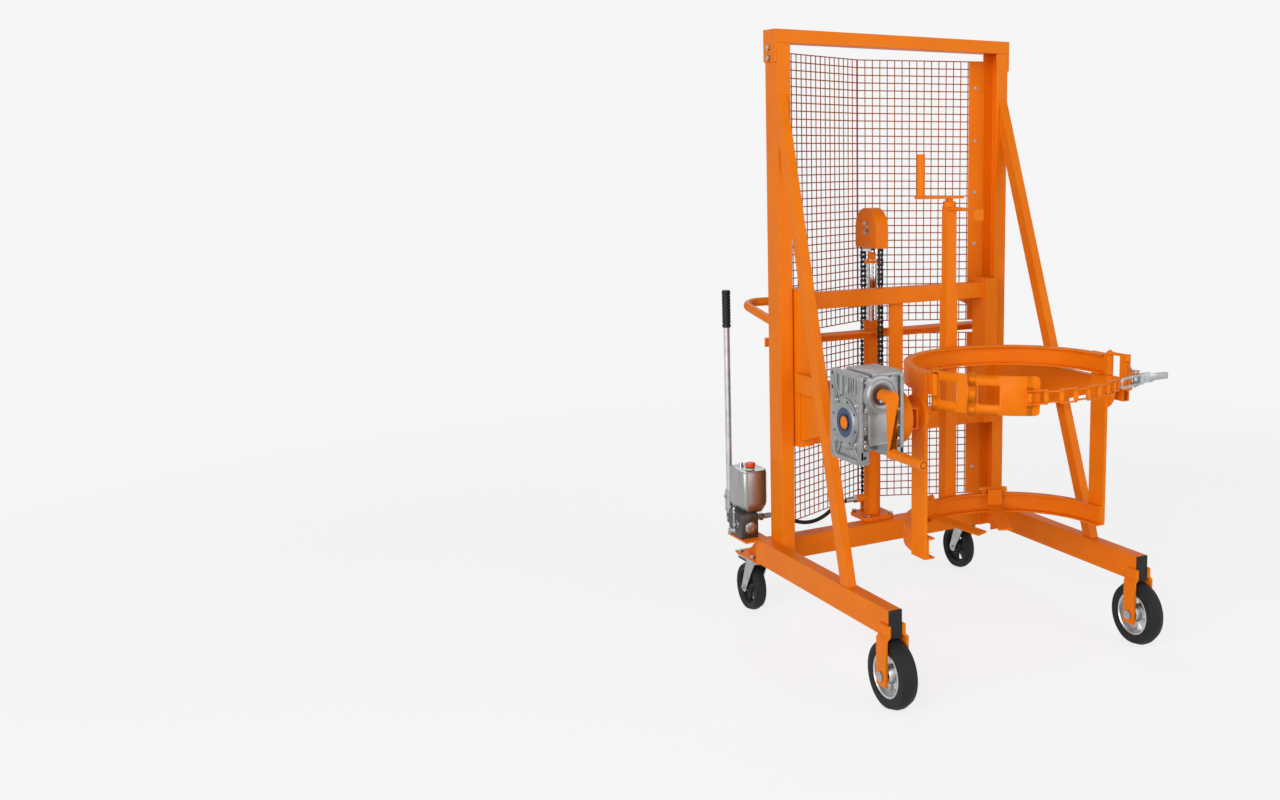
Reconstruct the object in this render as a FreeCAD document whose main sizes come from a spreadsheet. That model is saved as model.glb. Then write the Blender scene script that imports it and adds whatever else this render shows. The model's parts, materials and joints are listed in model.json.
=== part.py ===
import FreeCAD, Part
import math
import os
import re
from types import SimpleNamespace

import Sketcher

# Drum tipper: a hand-pumped mast that lifts a drum in two rings and tips it with a worm gearbox.
# X runs across the machine, -Y to the front, Z up. Places are counted from the mast: x from its middle,
# y from the front face of its channels, z from the floor. origin_x and origin_y move it all to the origin.

# All driving sizes in millimetres
SIZES = {
    "origin_x": 37,
    "origin_y": 307.2,
    "overrun": 5,
    "seat_gap": 0.3,
    "run_gap": 0.05,
    # legs and their end caps
    "mast_gap": 4,
    "leg_width": 40,
    "leg_height": 80,
    "leg_wall": 3,
    "leg_bottom": 206,
    "leg_reach": 700,
    "leg_back": 110,
    "cap_thick": 8,
    "cap_plug": 25,
    # mast channels, beams and braces
    "post_width": 45,
    "post_depth": 80,
    "post_wall": 6,
    "post_top": 1840,
    "top_beam_height": 40,
    "top_beam_wall": 4,
    "side_plate": 6,
    "side_plate_drop": 57,
    "cross_depth": 60,
    "cross_height": 70,
    "cross_wall": 4,
    "brace_width": 30,
    "brace_depth": 42,
    "brace_wall": 3,
    "brace_reach": 476,
    "brace_top": 1690,
    "brace_foot_inset": 8,
    "brace_head_inset": 2,
    # rear brackets
    "bracket_plate": 6,
    "seat_overhang": 46,
    "seat_lap": 24,
    "seat_depth": 112,
    "web_thick": 8,
    "web_inset": 1,
    "web_top": 34,
    "web_bottom": 124,
    # castors
    "castor_inset": 10,
    "castor_y": 200,
    "castor_plate_x": 100,
    "castor_plate_y": 110,
    "castor_plate_thick": 5,
    "castor_plate_margin": 11,
    "castor_lap": 10,
    "swivel_radius": 30,
    "swivel_height": 13,
    "crown_thick": 6,
    "castor_radius": 80,
    "castor_width": 38,
    "castor_rim": 62,
    "castor_trail": 50,
    "castor_leg": 5,
    "castor_side_gap": 4,
    "castor_leg_half": 29,
    "castor_axle": 6,
    "castor_pad": 16,
    "pedal_half": 20,
    "pedal_length": 86,
    "pedal_thick": 6,
    "pedal_forward": 20,
    "pedal_lift": 8,
    "pedal_pin": 4,
    # front wheels and the flats that carry them
    "wheel_radius": 100,
    "wheel_width": 50,
    "wheel_rim": 66,
    "wheel_set_back": 10,
    "wheel_hub": 26,
    "wheel_web": 10,
    "rim_wall": 7,
    "axle_radius": 8,
    "fork_wide": 50,
    "fork_thick": 8,
    "fork_gap": 5,
    "fork_lap": 40,
    "fork_bend": 10,
    "fork_tail": 28,
    "bolt_head": 8,
    "bolt_radius": 9,
    "bolt_spread": 15,
    "axle_head": 6,
    # push handle
    "handle_radius": 14,
    "handle_inset": 27,
    "handle_back": 326,
    "handle_low": 980,
    "handle_high": 1021,
    "handle_bend": 60,
    # crossbar behind the mast
    "bar_inset": 14,
    "bar_depth": 58,
    "bar_thick": 5,
    "bar_top": 930,
    "bar_lip": 30,
    "notch_half": 30,
    "notch_depth": 48,
    # guard
    "guard_inset": 44,
    "guard_back": 253,
    "guard_thick": 3,
    "guard_strip": 48,
    "guard_low": 322,
    "guard_low_top": 898,
    "guard_high": 940,
    "guard_high_top": 1818,
    "mesh_cell": 76,
    "mesh_wire": 3,
    # lift cylinder and ram
    "lift_y": 168,
    "base_half": 60,
    "base_flat": 42,
    "base_thick": 12,
    "base_bolt": 45,
    "tube_radius": 28,
    "tube_bore": 22,
    "tube_floor": 12,
    "tube_top": 945,
    "gland_radius": 31,
    "gland_height": 10,
    "port_height": 345,
    "port_radius": 13,
    "port_length": 36,
    "ram_radius": 18,
    "ram_low": 470,
    "piston_height": 30,
    "ram_drop": 118,
    "collar_radius": 24,
    "collar_height": 13,
    "neck_radius": 13,
    "neck_height": 27,
    "clevis_depth": 30,
    "clevis_height": 24,
    # sheave and chains
    "sheave_height": 1265,
    "sheave_root": 49,
    "sheave_rim": 51,
    "sheave_half": 13,
    "sheave_flange": 2,
    "sheave_axle": 8,
    "housing_radius": 66,
    "housing_half": 24.5,
    "housing_wall": 4,
    "housing_drop": 66,
    "chain_pitch_radius": 55.5,
    "chain_depth": 12,
    "chain_half": 10,
    "chain_lug_height": 42,
    "chain_lug_half": 11,
    # carriage
    "arm_overhang": 37,
    "upright_width": 50,
    "upright_front": 28,
    "upright_depth": 80,
    "carriage_low": 600,
    "carriage_top": 1090,
    "upright_cap": 6,
    "beam_front": 10,
    "beam_depth": 40,
    "beam_wall": 4,
    "lower_beam": 70,
    "upper_beam_low": 1029,
    "upper_beam": 52,
    "flat_half": 25,
    "flat_front": 10,
    "flat_thick": 12,
    "anchor_half": 15,
    "anchor_low": 605,
    "anchor_height": 20,
    "anchor_margin": 4,
    "roller_radius": 33,
    "roller_width": 30,
    "roller_inset": 42,
    "roller_stub": 10,
    "roller_up": 1000,
    "roller_down": 650,
    # arms
    "hub_length": 26.7,
    "arm_width": 24,
    "arm_height": 60,
    "arm_wall": 4,
    "arm_reach": 690,
    "gusset_thick": 8,
    "gusset_length": 502,
    "gusset_depth": 158,
    "tilt_forward": 630,
    "tilt_height": 808,
    "bearing_radius": 34,
    "bearing_thick": 14,
    # gearbox
    "adapter_radius": 74,
    "gear_gap": 32,
    "gear_wide": 136,
    "gear_cover": 8,
    "cover_radius": 78,
    "gear_fore": 75,
    "gear_aft": 85,
    "gear_drop": 107,
    "gear_rise": 138,
    "gear_wall": 11,
    "input_inset": 74,
    "input_rise": 80,
    "input_boss": 40,
    "input_boss_length": 10,
    "shaft_radius": 17.5,
    "worm_radius": 22,
    "worm_shaft": 12,
    "worm_half": 55,
    "wheel_gear": 57,
    "wheel_gear_half": 20,
    "crank_gap": 1,
    "crank_sleeve": 18,
    "crank_reach": 65,
    "crank_thick": 10,
    "crank_arm": 148,
    "crank_top_half": 17,
    "crank_low_half": 12,
    "crank_eye": 15,
    "crank_grip": 13,
    "crank_grip_length": 145,
    # clamp rings
    "ring_depth": 24,
    "ring_web": 5,
    "ring_in": 295,
    "ring_height": 60,
    "ring_flange": 5,
    "ring_end": 35,
    "upper_ring_low": 866,
    "lower_ring_low": 395,
    "side_bar_wide": 70,
    "side_bar_thick": 10,
    "trunnion_radius": 55,
    "trunnion_thick": 12,
    "hub_radius": 30,
    "hub_gap": 1,
    "pin_radius": 20,
    "pin_end": 12,
    # hook post
    "post_tube": 40,
    "post_tube_wall": 3,
    "post_tube_top": 1099,
    "hook_bar_low": 820,
    "hook_bar_top": 1346,
    "hook_thick": 8,
    "hook_reach": 157,
    "hook_lip": 26,
    "hook_collar": 20,
    "hook_collar_height": 16,
    "hook_spindle": 10,
    "hook_spindle_height": 9,
    "hook_arm_half": 14,
    "hook_arm_thick": 8,
    "hook_arm_back": 45,
    "hook_arm_reach": 118,
    "hook_grip": 12.5,
    "hook_grip_length": 125,
    # feet
    "foot_inset": 9,
    "foot_lift": 11,
    "foot_barrel": 8,
    "foot_pin": 4,
    "foot_wide": 45,
    "foot_thick": 6,
    "foot_clear": 6,
    "foot_knee": 419,
    "foot_tip_radius": 101,
    "foot_tip": 394,
    "foot_lug": 14,
    "foot_side_gap": 1,
    # belt
    "barrel_inset": 7,
    "barrel_forward": 58,
    "barrel_radius": 11,
    "barrel_pin": 4.5,
    "barrel_low": 824,
    "barrel_high": 941,
    "knuckle_gap": 1,
    "belt_inset": 2,
    "belt_thick": 5,
    "belt_low": 829,
    "belt_high": 936,
    "belt_trim": 14,
    "middle_knuckle_low": 862,
    "middle_knuckle_high": 905,
    "window_wide": 60,
    "window_tall": 52,
    "window_margin": 2,
    "belt_corner": 12,
    "belt_chain_low": 862,
    "belt_chain_high": 902,
    "belt_chain_rail": 8,
    "belt_chain_thick": 9,
    "latch_hook_run": 94,
    "belt_chain_end_forward": 260,
    "belt_chain_out": 16,
    "belt_lug": 6,
    # latch at the belt's right end
    "latch_inset": 1,
    "latch_pin_forward": 130,
    "latch_run": 56,
    "latch_end_forward": 205,
    "latch_barrel": 9,
    "link_window": 30,
    "latch_low": 845,
    "latch_high": 915,
    "latch_thick": 5,
    "latch_base": 12,
    "latch_base_half": 16,
    "latch_lever_thick": 5,
    "latch_lever_half": 13,
    "latch_lever_length": 122,
    "latch_boss": 9,
    "latch_pin": 4,
    "latch_hook_radius": 4,
    "latch_hook_half": 12,
    "latch_hook_bend": 9,
    "latch_hook_gap": 5,
    "latch_hook_offset": 18,
    # pump
    "pump_wide": 60,
    "pump_inset": 25,
    "pump_front": 115,
    "pump_back": 213,
    "pump_top": 366,
    "tank_step": 7,
    "tank_wide": 88,
    "tank_back": 233,
    "tank_top": 507,
    "tank_chamfer": 12,
    "cap_inset": 50,
    "cap_y": 142,
    "cap_radius": 16,
    "cap_height": 23,
    "breather_inset": 56,
    "breather_y": 198,
    "breather_radius": 9,
    "breather_height": 14,
    "lever_inset": 21,
    "lever_pivot_y": 236,
    "lever_pivot_z": 330,
    "lever_pin": 6,
    "lever_eye": 14,
    "lever_eye_half": 9,
    "lever_ear": 8,
    "lever_ear_gap": 1,
    "lever_set_back": 14,
    "lever_socket": 15,
    "lever_socket_top": 420,
    "lever_tube": 10,
    "lever_tube_top": 955,
    "grip_radius": 14,
    "grip_top": 1076,
    "release_y": 150,
    "release_z": 330,
    "release_boss": 8,
    "release_boss_length": 10,
    "release_arm": 6,
    "release_arm_half": 5,
    "release_length": 58,
    "union_y": 145,
    "union_length": 17,
    "union_radius": 10,
    "hose_radius": 6.5,
}

# Sizes that follow from the driving ones, as formulas of the sheet
FOLLOWING = {
    "ring_out": "ring_in + ring_depth",
    "foot_radius": "ring_out - foot_inset",
    "foot_strap": "ring_in - foot_clear",
    "barrel_x": "ring_out - barrel_inset",
    "belt_radius": "ring_out - belt_inset",
    "latch_pin_x": "ring_out - latch_inset",
    "latch_end_x": "latch_pin_x - latch_run",
    "belt_chain_end_x": "latch_end_x - latch_hook_run",
    "arm_in": "ring_out + seat_gap + side_bar_thick + trunnion_thick + hub_length",
    "upright_in": "arm_in - arm_overhang",
    "leg_gap_half": "upright_in + upright_width + mast_gap + post_width",
    "roller_in": "leg_gap_half - roller_inset",
    "gear_front": "tilt_forward + gear_fore",
    "gear_rear": "tilt_forward - gear_aft",
    "gear_low": "tilt_height - gear_drop",
    "gear_high": "tilt_height + gear_rise",
    "input_height": "tilt_height + input_rise",
    "crank_front": "gear_front + crank_reach",
    "gear_in": "arm_in + arm_width + gear_gap",
    "gear_out": "gear_in + gear_wide",
    "input_x": "gear_in + input_inset",
    "castor_x": "leg_gap_half - castor_inset",
    "bar_half": "leg_gap_half - bar_inset",
    "handle_half": "leg_gap_half - handle_inset",
    "guard_start": "leg_gap_half - guard_inset",
    "pump_in": "leg_gap_half + pump_inset",
    "pump_out": "pump_in + pump_wide",
    "tank_out": "pump_out - tank_step",
    "tank_in": "tank_out - tank_wide",
    "cap_x": "tank_in + cap_inset",
    "breather_x": "tank_in + breather_inset",
    "lever_x": "pump_out - lever_inset",
    "housing_bottom": "sheave_height - housing_drop",
    "ram_top": "sheave_height - ram_drop",
}

# Angles in degrees
RIGHT_FOOT_ANGLE = 64
LEFT_FOOT_ANGLE = 112
FOOT_ANGLES = {"right_foot": RIGHT_FOOT_ANGLE, "left_foot": LEFT_FOOT_ANGLE}
BELT_MIDDLE_ANGLE = 212.4
BELT_END_ANGLE = 245.5
BELT_CHAIN_ANGLE = 240.2
LATCH_LEVER_ANGLE = 53
HALF_TURN = 180
QUARTER_TURN = 90

# Counts
CHAIN_RUNGS = 9
HEX_SIDES = 6

SHEET_NAME = "sizes"
NODES = {}

doc = FreeCAD.newDocument("drum_tipper")
sheet = doc.addObject("Spreadsheet::Sheet", SHEET_NAME)
ALIASES = list(SIZES) + list(FOLLOWING)
for row, alias in enumerate(ALIASES, start=1):
    sheet.set(f"A{row}", alias)
    sheet.setAlias(f"B{row}", alias)
    sheet.set(f"B{row}", str(SIZES[alias]) if alias in SIZES else f"={FOLLOWING[alias]}")
doc.recompute()
S = SimpleNamespace(**{alias: float(sheet.get(alias)) for alias in ALIASES})
BELT_START_ANGLE = HALF_TURN + math.degrees(math.atan2(S.barrel_forward, S.barrel_x))

SHIFT = FreeCAD.Placement(FreeCAD.Vector(S.origin_x, S.origin_y, 0), FreeCAD.Rotation())
AXIS_TURNS = {
    "x": FreeCAD.Rotation(FreeCAD.Vector(0, 1, 0), QUARTER_TURN),
    "y": FreeCAD.Rotation(FreeCAD.Vector(1, 0, 0), -QUARTER_TURN),
    "z": FreeCAD.Rotation(),
}
SIDES = {"left": -1, "right": 1}


# Pieces bound to the sheet

def with_sheet(text):
    """Writes each size name in an expression as a reference to the sheet."""
    return re.sub(r"[a-z][a-z0-9_]*", lambda word: sheet_word(word.group(0)), str(text))


def sheet_word(word):
    return f"{SHEET_NAME}.{word}" if word in ALIASES else word


def bind(item, prop, text):
    item.setExpression(prop, with_sheet(text))


def place(item, x, y, z):
    bind(item, "Placement.Base.x", f"origin_x + ({x})")
    bind(item, "Placement.Base.y", f"origin_y + ({y})")
    bind(item, "Placement.Base.z", z)


def box(x, y, z):
    """A block from three (low, high) spans."""
    item = doc.addObject("Part::Box", "block")
    for prop, (low, high) in zip(("Length", "Width", "Height"), (x, y, z)):
        bind(item, prop, f"({high}) - ({low})")
    place(item, x[0], y[0], z[0])
    return item


def rod(axis, start, radius, length, sweep=None):
    """A cylinder from a start point along an axis."""
    item = doc.addObject("Part::Cylinder", "rod")
    bind(item, "Radius", radius)
    bind(item, "Height", length)
    if sweep:
        item.Angle = sweep
    item.Placement = FreeCAD.Placement(FreeCAD.Vector(), AXIS_TURNS[axis])
    place(item, *start)
    return item


def hexagon(axis, start, radius, length):
    """A bolt head from a start point along an axis."""
    item = doc.addObject("Part::Prism", "head")
    item.Polygon = HEX_SIDES
    bind(item, "Circumradius", radius)
    bind(item, "Height", length)
    item.Placement = FreeCAD.Placement(FreeCAD.Vector(), AXIS_TURNS[axis])
    place(item, *start)
    return item


def union(*items):
    if len(items) == 1:
        return items[0]
    joined = doc.addObject("Part::MultiFuse", "joined")
    joined.Shapes = list(items)
    return joined


def minus(base, *tools):
    left = doc.addObject("Part::Cut", "left_over")
    left.Base = base
    left.Tool = union(*tools)
    return left


def group(*items):
    joined = doc.addObject("Part::Compound", "set")
    joined.Links = list(items)
    return joined


def mirrored(side, low, high):
    """A span on one side of the middle, from sizes counted outwards."""
    if side > 0:
        return (low, high)
    return (f"-({high})", f"-({low})")


def grown(span, by):
    return (f"({span[0]}) - ({by})", f"({span[1]}) + ({by})")


def around(middle, half):
    return (f"({middle}) - ({half})", f"({middle}) + ({half})")


def hollow(x, y, z, wall, along):
    """A rectangular tube open at both ends along one axis."""
    spans = {"x": x, "y": y, "z": z}
    inner = [grown(spans[axis], "overrun" if axis == along else f"-{wall}") for axis in "xyz"]
    return minus(box(x, y, z), box(*inner))


def padded(role, outline, depth, start):
    """A plate of any straight-edged outline: a sketch on one of the body's planes, padded."""
    body = doc.addObject("PartDesign::Body", "plate")
    sketch = body.newObject("Sketcher::SketchObject", "outline")
    plane = [item for item in body.Origin.OriginFeatures if item.Role == role][0]
    sketch.AttachmentSupport = [(plane, "")]
    sketch.MapMode = "FlatFace"
    points = [FreeCAD.Vector(*(signed_size(word) for word in pair), 0) for pair in outline]
    count = len(points)
    for index, point in enumerate(points):
        sketch.addGeometry(Part.LineSegment(point, points[(index + 1) % count]), False)
    for index in range(count):
        sketch.addConstraint(Sketcher.Constraint("Coincident", index, 2, (index + 1) % count, 1))
    for index, (across, up) in enumerate(outline):
        pin_point(sketch, index, "DistanceX", across, -2)
        pin_point(sketch, index, "DistanceY", up, -1)
    pad = body.newObject("PartDesign::Pad", "pad")
    pad.Profile = sketch
    bind(pad, "Length", depth)
    place(body, *start)
    return body


def signed_size(word):
    """The number behind a size name, a minus sign before it, or an empty word for zero."""
    if not word:
        return 0
    size = SIZES[word.lstrip("-")]
    return -size if word.startswith("-") else size


def pin_point(sketch, index, kind, word, axis):
    """Ties one coordinate of a sketch point to its size, or to the axis when it is zero."""
    if not word:
        sketch.addConstraint(Sketcher.Constraint("PointOnObject", index, 1, axis))
        return
    number = sketch.addConstraint(Sketcher.Constraint(kind, -1, 1, index, 1, signed_size(word)))
    bind(sketch, f"Constraints[{number}]", word)


def node(label, item):
    item.Label = label
    NODES[label] = item


# Pieces made from curves

def vec(x, y, z):
    return FreeCAD.Vector(x, y, z)


def shaped(shape):
    """A slanting, bent or swept piece, which no primitive gives."""
    item = doc.addObject("Part::Feature", "shaped")
    item.Shape = shape
    item.Placement = SHIFT.multiply(shape.Placement)
    return item


def prism(points, sweep):
    face = Part.Face(Part.makePolygon(list(points) + [points[0]]))
    return face.extrude(sweep)


def solid_box(low, high):
    size = high - low
    return Part.makeBox(size.x, size.y, size.z, low)


def solid_rod(start, end, radius):
    run = end - start
    return Part.makeCylinder(radius, run.Length, start, run)


def bent_flat(points, thick, sweep):
    """A flat bar bent along points in one plane, as wide as the sweep."""
    shape = None
    for start, end in zip(points, points[1:]):
        side = (end - start).cross(sweep)
        side.normalize()
        side = side * (thick / 2)
        piece = prism([start - side, end - side, end + side, start + side], sweep)
        shape = piece if shape is None else shape.fuse(piece)
    for middle in points[1:-1]:
        shape = shape.fuse(solid_rod(middle, middle + sweep, thick / 2))
    return shape.removeSplitter()


def bend_points(points, radii):
    """Splits a path into straight runs and tangent arcs."""
    edges = []
    start = points[0]
    for index, radius in enumerate(radii, start=1):
        corner = points[index]
        back = points[index - 1] - corner
        ahead = points[index + 1] - corner
        back.normalize()
        ahead.normalize()
        turn = math.pi - back.getAngle(ahead)
        reach = radius * math.tan(turn / 2)
        to_middle = back + ahead
        to_middle.normalize()
        middle = corner + to_middle * (radius / math.cos(turn / 2) - radius)
        edges.append(Part.makeLine(start, corner + back * reach))
        edges.append(Part.Arc(corner + back * reach, middle, corner + ahead * reach).toShape())
        start = corner + ahead * reach
    edges.append(Part.makeLine(start, points[-1]))
    return Part.Wire(edges)


def swept(points, radii, radius):
    """A round bar along a path, with its volume set against section times length."""
    path = bend_points(points, radii)
    section = Part.Wire(Part.makeCircle(radius, points[0], points[1] - points[0]))
    shape = path.makePipeShell([section], True, False)
    expected = math.pi * radius ** 2 * path.Length
    print("swept length", round(path.Length, 1), "volume share", round(shape.Volume / expected, 4))
    return shape


def on_ring(radius, angle, height):
    turn = math.radians(angle)
    return vec(radius * math.cos(turn), -S.tilt_forward + radius * math.sin(turn), height)


# Names for places that several pieces share
LEG_TOP = "leg_bottom + leg_height"
CROSS_TOP = "leg_bottom + cross_height"
WHOLE_POST = ("leg_bottom", "post_top")
POST_Y = ("0", "post_depth")
CROSS_BACK = "post_depth + cross_depth"
TILT_Y = "-tilt_forward"
POST_TUBE_Y = "-tilt_forward + ring_out + seat_gap + post_tube / 2"
UPRIGHT_Y = ("-upright_front", "upright_depth - upright_front")
WHEEL_Y = "wheel_set_back - leg_reach"


# Frame

def frame_members():
    for name, side in SIDES.items():
        leg_x = mirrored(side, "leg_gap_half", "leg_gap_half + leg_width")
        leg_y = ("-leg_reach", "leg_back")
        node(f"{name}_leg", hollow(leg_x, leg_y, ("leg_bottom", LEG_TOP), "leg_wall", "y"))
        post_x = mirrored(side, "leg_gap_half - post_width", "leg_gap_half")
        slot_x = mirrored(side, "leg_gap_half - post_width - overrun", "leg_gap_half - post_wall")
        slot_z = grown(WHOLE_POST, "overrun")
        slot = box(slot_x, grown(POST_Y, "-post_wall"), slot_z)
        node(f"{name}_post", minus(box(post_x, POST_Y, WHOLE_POST), slot))
    node("leg_end_caps", group(*[end_cap(side) for side in SIDES.values()]))
    half = "leg_gap_half"
    cross_span = (f"-{half}", half)
    cross_z = ("leg_bottom", CROSS_TOP)
    node("rear_cross_beam", hollow(cross_span, ("post_depth", CROSS_BACK), cross_z, "cross_wall", "x"))
    top_half = "leg_gap_half + side_plate"
    top_z = ("post_top", "post_top + top_beam_height")
    beam = hollow((f"-({top_half})", top_half), POST_Y, top_z, "top_beam_wall", "x")
    plates = []
    for side in SIDES.values():
        plate_x = mirrored(side, "leg_gap_half", top_half)
        plates.append(box(plate_x, POST_Y, ("post_top - side_plate_drop", "post_top + top_beam_height")))
    node("top_beam", union(beam, *plates))
    node("braces", group(*[shaped(brace(side)) for side in SIDES.values()]))


def end_cap(side):
    face_x = mirrored(side, "leg_gap_half", "leg_gap_half + leg_width")
    face = box(face_x, ("-leg_reach - cap_thick", "-leg_reach"), ("leg_bottom", LEG_TOP))
    plug_y = ("-leg_reach", "-leg_reach + cap_plug")
    inset = "-(leg_wall + seat_gap)"
    plug = box(grown(face_x, inset), plug_y, grown(("leg_bottom", LEG_TOP), inset))
    return union(face, plug)


def brace(side):
    """A slanting tube from the leg's top to the front of the mast channel, cut flush at both."""
    top = S.leg_bottom + S.leg_height
    foot = S.leg_gap_half + S.brace_foot_inset
    head = S.leg_gap_half - S.brace_head_inset - S.brace_width
    climb = vec(side * (head - foot), S.brace_reach, S.brace_top - top)

    def sloped(inset):
        low_x = side * (foot + inset)
        high_x = side * (foot + S.brace_width - inset)
        front = -S.brace_reach + inset
        rear = -S.brace_reach + S.brace_depth - inset
        plan = [(low_x, front), (high_x, front), (high_x, rear), (low_x, rear)]
        return prism([vec(*corner, top) for corner in plan], climb)

    reach = S.leg_gap_half + S.leg_width
    behind = solid_box(vec(-reach, 0, 0), vec(reach, S.post_depth, S.post_top))
    return sloped(0).cut(sloped(S.brace_wall)).cut(behind)


def rear_bracket(side):
    outer = "leg_gap_half + leg_width"
    seat_z = (f"{LEG_TOP} - bracket_plate", LEG_TOP)
    seat_back = "leg_back + seat_depth"
    pieces = []
    castor_x = mirrored(side, "castor_x - castor_plate_x / 2", "castor_x + castor_plate_x / 2")
    castor_back = "castor_y + castor_plate_y / 2 + castor_plate_margin"
    castor_z = ("leg_bottom - bracket_plate", "leg_bottom")
    pieces.append(box(castor_x, ("leg_back - castor_lap", castor_back), castor_z))
    if side < 0:
        seat_x = mirrored(side, "leg_gap_half", f"{outer} + seat_overhang")
        pieces.append(box(seat_x, ("leg_back", seat_back), seat_z))
        lap_x = mirrored(side, outer, f"{outer} + seat_overhang")
        pieces.append(box(lap_x, ("leg_back - seat_lap", "leg_back"), seat_z))
    else:
        web_y = ("leg_back", "leg_back + web_top")
        pieces.append(box(mirrored(side, "leg_gap_half", outer), web_y, seat_z))
    pieces.append(shaped(bracket_web(side)))
    return union(*pieces)


def bracket_web(side):
    """The slanting plate that carries the castor plate from the leg's end."""
    start = side * (S.leg_gap_half + S.web_inset)
    top = S.leg_bottom + S.leg_height - S.bracket_plate
    corners = [
        vec(start, S.leg_back, S.leg_bottom),
        vec(start, S.leg_back + S.web_bottom, S.leg_bottom),
        vec(start, S.leg_back + S.web_top, top),
        vec(start, S.leg_back, top),
    ]
    return prism(corners, vec(side * S.web_thick, 0, 0))


def wheel_flat(side, face):
    """One joggled flat, welded to a side of the leg and standing clear of the wheel."""
    middle = side * (S.leg_gap_half + S.leg_width / 2)
    near = face * (S.leg_width + S.fork_thick) / 2
    far = face * (S.wheel_width / 2 + S.fork_gap + S.fork_thick / 2)
    front = S.wheel_set_back - S.leg_reach - S.fork_wide / 2
    points = [
        vec(middle + near, front, S.leg_bottom + S.fork_lap),
        vec(middle + near, front, S.leg_bottom + S.fork_bend),
        vec(middle + far, front, S.leg_bottom),
        vec(middle + far, front, S.wheel_radius - S.fork_tail),
    ]
    flat = bent_flat(points, S.fork_thick, vec(0, S.fork_wide, 0))
    reach = S.wheel_width
    hole_y = S.wheel_set_back - S.leg_reach
    ends = [vec(middle + sign * reach, hole_y, S.wheel_radius) for sign in (-1, 1)]
    return flat.cut(solid_rod(*ends, S.axle_radius + S.seat_gap))


def frame_bolts():
    """Loose steel fixings of the frame: bolts, front axles and the castors' top plates."""
    bolts = []
    for side in SIDES.values():
        plate_face = "leg_gap_half + side_plate"
        low_x = mirrored(side, plate_face, f"{plate_face} + bolt_head")[0]
        for rows in (1, 3):
            start = (low_x, "post_depth / 2", f"post_top - {rows} * bolt_spread")
            bolts.append(hexagon("x", start, "bolt_radius", "bolt_head"))
        bolts.append(axle_bolt(side))
        plate_x = mirrored(side, "castor_x - castor_plate_x / 2", "castor_x + castor_plate_x / 2")
        plate_top = "leg_bottom - bracket_plate"
        plate_z = (f"{plate_top} - castor_plate_thick", plate_top)
        bolts.append(box(plate_x, around("castor_y", "castor_plate_y / 2"), plate_z))
        plate_corner = "castor_plate_x / 2 - castor_plate_margin"
        for across in (-1, 1):
            for along in (-1, 1):
                x = f"{side} * castor_x + {across} * ({plate_corner})"
                y = f"castor_y + {along} * (castor_plate_y / 2 - castor_plate_margin)"
                bolts.append(hexagon("z", (x, y, "leg_bottom"), "bolt_radius", "bolt_head"))
        for along in (-1, 1):
            start = (f"{side} * base_bolt", f"lift_y + {along} * base_bolt", f"{CROSS_TOP} + base_thick")
            bolts.append(hexagon("z", start, "bolt_radius", "bolt_head"))
    node("bolts_and_castor_plates", group(*bolts))


def axle_bolt(side):
    """A front wheel's axle with a head and a nut outside its two flats."""
    middle = f"{side} * (leg_gap_half + leg_width / 2)"
    half = "wheel_width / 2 + fork_gap + fork_thick"
    grip = f"{half} + axle_head"
    shank = rod("x", (f"{middle} - ({grip})", WHEEL_Y, "wheel_radius"), "axle_radius", f"2 * ({grip})")
    ends = []
    for sign in (-1, 1):
        low = half if sign > 0 else grip
        start = (f"{middle} + {sign} * ({low})", WHEEL_Y, "wheel_radius")
        ends.append(hexagon("x", start, "axle_radius * 2", "axle_head"))
    return union(shank, *ends)


def push_handle():
    rise = (S.handle_high - S.handle_low) / (S.handle_back - S.post_depth)
    start_y = S.post_depth - S.handle_radius
    start_z = S.handle_low - rise * S.handle_radius
    points = [
        vec(-S.handle_half, start_y, start_z),
        vec(-S.handle_half, S.handle_back, S.handle_high),
        vec(S.handle_half, S.handle_back, S.handle_high),
        vec(S.handle_half, start_y, start_z),
    ]
    tube = swept(points, [S.handle_bend, S.handle_bend], S.handle_radius)
    reach = S.leg_gap_half + S.post_width
    mast = solid_box(vec(-reach, 0, 0), vec(reach, S.post_depth, S.post_top))
    node("push_handle", shaped(tube.cut(mast)))


def crossbar():
    span = ("-bar_half", "bar_half")
    back = "post_depth + bar_depth"
    shelf = box(span, ("post_depth", back), ("bar_top - bar_thick", "bar_top"))
    lip = box(span, (f"{back} - bar_thick", back), ("bar_top - bar_lip", "bar_top"))
    notch_y = ("post_depth - overrun", "post_depth + notch_depth")
    notch_z = grown(("bar_top - bar_thick", "bar_top"), "overrun")
    notch = box(("-notch_half", "notch_half"), notch_y, notch_z)
    node("crossbar", minus(union(shelf, lip), notch))


# Guard

def guard_panels():
    """The guard's plan, two wings that meet at one fold: each has a start, an end and an outward side."""
    start = vec(S.guard_start, S.post_depth, 0)
    along = vec(S.seat_gap, S.guard_back, 0) - start
    outward = vec(along.y, -along.x, 0)
    outward.normalize()
    fold_overlap = outward.x * S.guard_thick / -along.x
    end = start + along * (1 + fold_overlap)

    def flipped(point):
        return vec(-point.x, point.y, 0)

    return (start, end, outward), (flipped(start), flipped(end), flipped(outward))


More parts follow.
